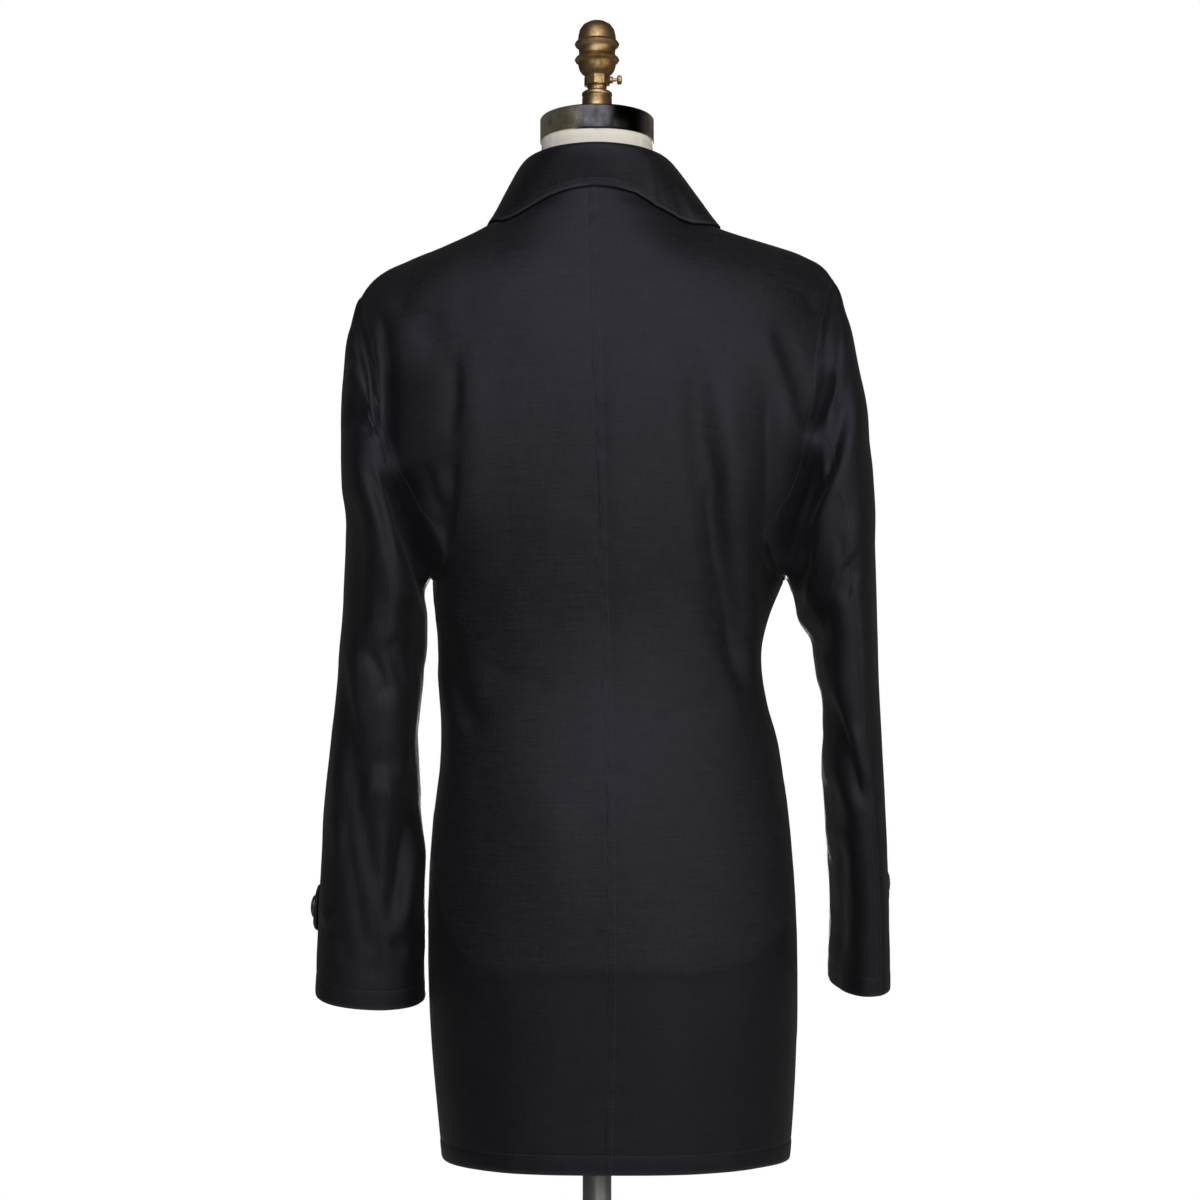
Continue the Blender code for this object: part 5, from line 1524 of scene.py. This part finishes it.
def add_tab(side):
    """The strap on the front of a cuff: sewn in at the sleeve's front seam, with its point buttoned down."""
    length, bottom = sleeve_knots(side)[-1], SLEEVES[side][-1].out_z
    first, last = (length - (height - bottom) for height in TAB_HEIGHT[side][::-1])
    width = last - first
    drops = first + spaced(width, TAB_EDGE_STEPS, TAB_EDGE_STEPS, TAB_STEP)
    start, end = TAB_REACH[side]
    reach = (end - start) * TAB_AROUND
    shares = start + spaced(reach, TAB_SEAM_STEPS, TAB_EDGE_STEPS, TAB_STEP) / reach * (end - start)
    base = sleeve_surface(side, shares, drops)
    taper = (shares - end + TAB_POINT * (end - start)) / (TAB_POINT * (end - start))
    narrow = 1 - TAB_NARROWED * np.clip(taper, 0, 1) ** TAB_POINT_BEND
    rows = (drops - drops.mean()) / width
    columns = [line_at(base[:, column], rows, rows * share) for column, share in enumerate(narrow)]
    points = np.stack(columns, axis=1)
    normals = grid_normals(points, points - sleeve_axis(side, drops))
    kinds = Edges("plain", "free", "free", "free")
    edges = edge_distances(points)
    nearest = np.minimum(np.minimum(edges.low, edges.high), edges.end)
    lift = lumps(points, TAB_LUMPS) - TAB_GROOVE * bump_at(nearest - TAB_STITCH_IN, TAB_GROOVE_REACH)
    lift = lift + TAB_RISE * smooth_step((shares - start) / TAB_RISE_END)
    points = points + normals * (CLEAR + TAB_CLOTH + lift)[..., None]
    shape = dressed(points, normals, kinds, np.zeros(lift.shape), 151)
    name = f"cuff_tab_{side}"
    obj = cloth_piece(f"coat_{name}", shape, normals, TAB_CLOTH, kinds, (0.2, 0.9))
    sewn = [line_beside(shape, normals, edge, TAB_STITCH_IN) for edge in ("low", "high", "end")]
    lines = [line[TAB_CORNER:-TAB_CORNER] for line in sewn]
    size = {"pitch": TAB_PITCH, "length": TAB_STITCH_LENGTH}
    finish_cloth(name, obj, lines, "laid", [f"sleeve_top_{side}"], **size)


# ---------------------------------------------------------------- turned pieces, buttons and the form


def frame_of(direction):
    """The turn that stands an upright shape along this direction."""
    return np.array(Vector(direction).normalized().to_track_quat("Z", "Y").to_matrix())


def turned(name, profile, material, place, direction=(0, 0, 1), steps=96, ridged=None, sharp=50):
    """A closed shape from a profile of (radius, height) points turned about an axis, up from its foot."""
    angles = np.linspace(0, 2 * math.pi, steps, endpoint=False)
    rings = []
    for radius, height in profile[:-1]:
        reach = radius * (1 + (ridged(height, angles) if ridged else 0 * angles))
        rings.append(np.stack([reach * np.cos(angles), reach * np.sin(angles), 0 * angles + height], axis=-1))
    points, faces = stacked(rings, (0, 0, profile[0][1]), (0, 0, profile[-1][1]))
    obj = mesh_object(name, points @ frame_of(direction).T + np.array(place), faces, material)
    obj.data.set_sharp_from_angle(angle=math.radians(sharp))
    return obj


BUTTON_RINGS, BUTTON_SIDES = 27, 64
# A button's shape in shares of its radius and thickness: the flat of its face with a raised rim and a shallow
# dish, its four holes, and its side and back from the edge to the middle.
FACE_FLAT, FACE_EDGE = 0.70, 0.90
RIM_AT, RIM_REACH, RIM_HIGH = 0.87, 0.10, 0.30
DISH_REACH, DISH_DEEP = 0.5, 0.08
HOLE_AT, HOLE_WIDE, HOLE_SLOPE, HOLE_DEEP = 0.19, 0.62, 0.30, 0.42
BUTTON_SIDE = ((1.0, 0.32), (0.96, 0.0444), (0.90, 0.0), (0.40, 0.0))
THREAD_HIGH = 0.63
THREAD_DIP = 0.0006
THREAD_PITCH, THREAD_LENGTH, THREAD_THICK = 0.0007, 0.0012, 0.0009


def button(name, node, radius, direction):
    """A four-hole button with a raised rim, in the place of its node, and the thread that holds it."""
    low, high = (np.array(corner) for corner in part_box(node))
    direction = np.array(direction, float)
    foot = (low + high) / 2 - direction * BUTTON_THICK / 2
    turn = frame_of(direction).T
    radii = np.linspace(0, 1, BUTTON_RINGS)
    angles = np.linspace(0, 2 * math.pi, BUTTON_SIDES, endpoint=False)
    rim = RIM_HIGH * bump_at(radii - RIM_AT, RIM_REACH)
    face = FACE_FLAT + rim - DISH_DEEP * bump_at(radii, DISH_REACH)
    face[-2:] = FACE_EDGE, FACE_FLAT
    radii = np.concatenate([radii, [share for share, _ in BUTTON_SIDE]])[:, None]
    heights = np.concatenate([face, [share for _, share in BUTTON_SIDE]])[:, None]
    across, up = radius * radii * np.cos(angles), radius * radii * np.sin(angles)
    height = np.repeat(heights, BUTTON_SIDES, axis=1)
    hole = radius * HOLE_AT
    for sign_x, sign_y in ((1, 1), (1, -1), (-1, 1), (-1, -1)):
        away = np.hypot(across - sign_x * hole, up - sign_y * hole)[:BUTTON_RINGS]
        height[:BUTTON_RINGS] -= HOLE_DEEP * smooth_step((hole * HOLE_WIDE - away) / (hole * HOLE_SLOPE))
    rings = np.stack([across, up, height * BUTTON_THICK], axis=-1)
    points, faces = stacked(rings[:0:-1], (0, 0, 0), rings[0, 0])
    obj = mesh_object(name, points @ turn + foot, faces, HORN)
    obj.data.set_sharp_from_angle(angle=math.radians(60))
    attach(obj, "root")
    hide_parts(node)
    top = BUTTON_THICK * THREAD_HIGH
    bars = [[(-hole, y, top - THREAD_DIP), (0, y, top), (hole, y, top - THREAD_DIP)] for y in (hole, -hole)]
    bars = [np.array(bar) @ turn + foot for bar in bars]
    thread = stitched(f"thread_{node}", bars, THREAD_PITCH, THREAD_LENGTH, THREAD_THICK)
    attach(thread, "root")


def nearest_normal(points, normals, place):
    away = np.linalg.norm(points - place, axis=-1)
    return normals[np.unravel_index(away.argmin(), away.shape)]


TAB_SPOT, TAB_SPOT_STEPS = 0.05, 12  # share of the way round, to each side, that tilts a cuff button


def add_buttons(grids):
    points, normals = grids["front", "right"]
    for number in range(1, FRONT_BUTTONS + 1):
        node = f"front_button_{number}"
        middle = sum(np.array(corner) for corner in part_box(node)) / 2
        button(f"coat_{node}", node, FRONT_BUTTON_RADIUS, nearest_normal(points, normals, middle))
    for side in SIDES:
        node = f"cuff_button_{side}"
        low, high = TAB_HEIGHT[side]
        heights = np.linspace(high, low, TAB_SPOT_STEPS)
        drops = sleeve_knots(side)[-1] - (heights - SLEEVES[side][-1].out_z)
        around = np.linspace(TAB_BUTTON - TAB_SPOT, TAB_BUTTON + TAB_SPOT, TAB_SPOT_STEPS)
        points = sleeve_surface(side, around, drops)
        normals = grid_normals(points, points - sleeve_axis(side, drops))
        button(f"coat_{node}", node, TAB_BUTTON_RADIUS, unit(normals.mean(axis=(0, 1))))


FORM_SIDES, FORM_FULL = 120, 2.25
FORM_SEAMS = 8
FORM_SEAM_REACH, FORM_SEAM_DEEP = 0.004, 0.0008  # share of the way round, and depth
FORM_HEIGHTS = np.concatenate([(0.757, 0.7578, 0.7595, 0.762), np.linspace(0.765, 1.466, 150)])
FORM_RADIUS = 0.11  # rough, for the run of the linen's threads


def add_form():
    """The smooth linen torso and neck, with the seams of its cover."""
    sections = curve_through([ring[1:] for ring in TORSO], [ring.z for ring in TORSO], FORM_HEIGHTS)
    turn = np.linspace(0, 2 * math.pi, FORM_SIDES, endpoint=False)
    across, along = signed_power(np.cos(turn), 2 / FORM_FULL), signed_power(np.sin(turn), 2 / FORM_FULL)
    from_seam = (turn / (2 * math.pi) * FORM_SEAMS + 0.5) % 1 - 0.5
    seam = FORM_SEAM_DEEP * bump_at(from_seam, FORM_SEAM_REACH * FORM_SEAMS)
    rings = []
    for height, (left, right, back, front) in zip(FORM_HEIGHTS, sections):
        x = np.where(across < 0, left, right) * across
        y = np.where(along < 0, back, front) * along
        lean = smooth_step((height - TORSO[-3].z) / (TORSO[-1].z - TORSO[-3].z))
        drawn_in = 1 - seam / np.hypot(x, y)
        rings.append(np.stack([x * drawn_in, y * drawn_in, height - math.tan(NECK_TILT) * lean * y], axis=-1))
    points, faces = stacked(rings, rings[0].mean(axis=0), rings[-1].mean(axis=0))
    obj = mesh_object("dress_form", points, faces, LINEN)
    place = np.stack(np.meshgrid(turn * FORM_RADIUS, FORM_HEIGHTS), axis=-1).reshape(-1, 2)
    point_uv(obj.data, np.concatenate([[[0, FORM_HEIGHTS[0]]], place, [[0, FORM_HEIGHTS[-1]]]]))
    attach(obj, "root")
    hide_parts("form_body")


# How strongly dark and warm reflections are painted on the neck ring behind, from its left at -1 to its right
# at 1, and the other way round in front.
DARK_REFLECTION_BANDS = [
    (-1.0, 0.0), (-0.55, 0.0), (-0.40, 0.25), (-0.30, 0.80), (-0.24, 0.93), (-0.10, 0.94), (0.0, 0.955),
    (0.10, 0.94), (0.20, 0.95), (0.28, 0.975), (0.34, 0.99), (0.40, 0.999), (0.66, 0.999), (0.74, 0.96),
    (0.88, 0.40), (1.0, 0.0),
]
WARM_REFLECTION_BANDS = [(-1.0, 0.8), (-0.45, 1.0), (-0.25, 0.1), (0.0, 0.0), (0.3, 0.1), (0.7, 0.6), (1.0, 0.8)]


def knurled(height, angles):
    return KNURL_DEPTH * np.cos(KNURL_RIDGES * angles) if KNURL[0] < height < KNURL[1] else 0 * angles


def eight_sided(height, angles):
    off_corner = (angles + NUT_TURN) % (math.pi / 4) - math.pi / 8
    return 1 / np.cos(off_corner) / NUT_ROUND - 1 if NUT[0] < height < NUT[1] else 0 * angles


def mark_ring(ring):
    """Gives each point of the neck ring how strongly dark and warm reflections are painted on it."""
    places = np.array([point.co[:] for point in ring.vertices])
    across = places[:, 0] / RING[2][0] * np.where(places[:, 1] < 0, 1, -1)
    for name, table in (("painted_dark_reflection", DARK_REFLECTION_BANDS), ("painted_warm_reflection", WARM_REFLECTION_BANDS)):
        point_attribute(ring, name, np.interp(across, *np.transpose(table)))


def add_metal():
    ring_foot = np.array((0, 0, NECK_TOP_Z))
    axis = np.array(NECK_AXIS)
    finial_foot = ring_foot + axis * (RING[-1][1] + CAD_GAP)
    side = np.array((1.0, 0, 0))
    screw_foot = finial_foot + axis * THUMBSCREW_HEIGHT + side * (FINIAL_STEM_RADIUS + CAD_GAP)
    low = BASE[-1][1] + CAD_GAP
    tall = TORSO[0].z - CAD_GAP - low
    pole = [
        (POLE_RADIUS - POLE_BEVEL, 0.0), (POLE_RADIUS, POLE_BEVEL), (POLE_RADIUS, tall - POLE_BEVEL),
        (POLE_RADIUS - POLE_BEVEL, tall), (0.0, tall),
    ]
    ring = turned("form_neck_ring", RING, CHROME, ring_foot, axis, 128, sharp=60)
    mark_ring(ring.data)
    finial = turned("form_finial", FINIAL, BRASS, finial_foot, axis, 96, eight_sided, sharp=38)
    for node, slot, obj in (
        ("neck_ring", "chrome", ring),
        ("finial", "brass", finial),
        ("thumbscrew", "brass", turned("form_thumbscrew", THUMBSCREW, BRASS, screw_foot, side, 72, knurled)),
        ("pole", "steel", turned("form_pole", pole, STEEL, (0, 0, low), steps=64)),
        ("base", "steel", turned("form_base", BASE, STEEL, (0, 0, 0), steps=160, sharp=35)),
    ):
        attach(obj, "root")
        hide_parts(node)


# ---------------------------------------------------------------- floor, light and camera


def area_light(name, place, target, width, watts, colour=(1, 1, 1)):
    light = bpy.data.lights.new(name, "AREA")
    light.size = width
    light.energy = watts
    light.color = colour
    obj = link(bpy.data.objects.new(name, light))
    obj.location = place
    obj.rotation_euler = (Vector(target) - Vector(place)).to_track_quat("-Z", "Y").to_euler()


ROOM_LIGHT = 0.04  # the studio behind the camera
PAPER_LIGHT = 0.08  # the white paper beyond the coat
FADE_TO_PAPER = 0.9  # the light fades from one to the other between minus this and this along Y
FLOOR_REACH = 3.0
CHEST = (0.0, 0.0, 1.25)


def add_room():
    """White paper to the camera, and dim light from the room and the paper on the coat."""
    world = bpy.data.worlds.new("studio")
    world.use_nodes = True
    nodes, links = world.node_tree.nodes, world.node_tree.links
    room = nodes["Background"]
    room.inputs["Color"].default_value = (1.0, 0.99, 0.90, 1.0)
    where, parts = nodes.new("ShaderNodeTexCoord"), nodes.new("ShaderNodeSeparateXYZ")
    shade = nodes.new("ShaderNodeMapRange")
    links.new(where.outputs["Generated"], parts.inputs[0])
    links.new(parts.outputs["Y"], shade.inputs["Value"])
    fade = (-FADE_TO_PAPER, FADE_TO_PAPER, ROOM_LIGHT, PAPER_LIGHT)
    for socket, value in zip(("From Min", "From Max", "To Min", "To Max"), fade):
        shade.inputs[socket].default_value = value
    links.new(shade.outputs[0], room.inputs["Strength"])
    paper = nodes.new("ShaderNodeBackground")
    paper.inputs["Color"].default_value = (1.0, 1.0, 1.0, 1.0)
    ray, pick = nodes.new("ShaderNodeLightPath"), nodes.new("ShaderNodeMixShader")
    links.new(ray.outputs["Is Camera Ray"], pick.inputs[0])
    links.new(room.outputs[0], pick.inputs[1])
    links.new(paper.outputs[0], pick.inputs[2])
    links.new(pick.outputs[0], nodes["World Output"].inputs["Surface"])
    bpy.context.scene.world = world


def add_floor():
    made = Finish("pale floor", Specular_IOR_Level=0.2)
    speckle = made.noise((300, 300, 300), 2.0)
    tone = made.mix(speckle, (0.80, 0.80, 0.80), (0.84, 0.84, 0.84))
    finish = made.done(Base_Color=tone, Roughness=0.75 + 0.1 * speckle)
    corners = [(FLOOR_REACH * x, FLOOR_REACH * y, 0) for x, y in ((-1, -1), (1, -1), (1, 1), (-1, 1))]
    floor = mesh_object("floor", corners, [(0, 1, 2, 3)], finish)


def add_lights():
    area_light("key", (-0.05, -1.85, 2.62), (0.0, 0.0, 1.50), 2.3, 56, (0.96, 0.95, 1.0))
    area_light("low_fill", (0.2, -2.7, 1.05), (0.0, 0.0, 1.2), 1.3, 12, (1.0, 1.0, 0.92))
    area_light("fill", (2.2, -2.0, 1.5), CHEST, 1.4, 25, (1.0, 0.99, 0.92))
    area_light("front_key", (0.15, 4.2, 0.35), CHEST, 0.4, 75)


def add_camera():
    camera = bpy.data.cameras.new("camera")
    camera.lens = 110.3
    camera.sensor_width = 36
    obj = link(bpy.data.objects.new("camera", camera))
    obj.location = (0.0026, -3.2, 1.069)
    obj.rotation_euler = (math.radians(90), 0, 0)
    bpy.context.scene.camera = obj


body = add_body()
add_sleeves()
add_collar(body)
for coat_side in SIDES:
    add_tab(coat_side)
add_buttons(body)
add_form()
add_metal()
add_room()
add_floor()
add_lights()
add_camera()
bpy.context.scene.view_settings.view_transform = "Standard"
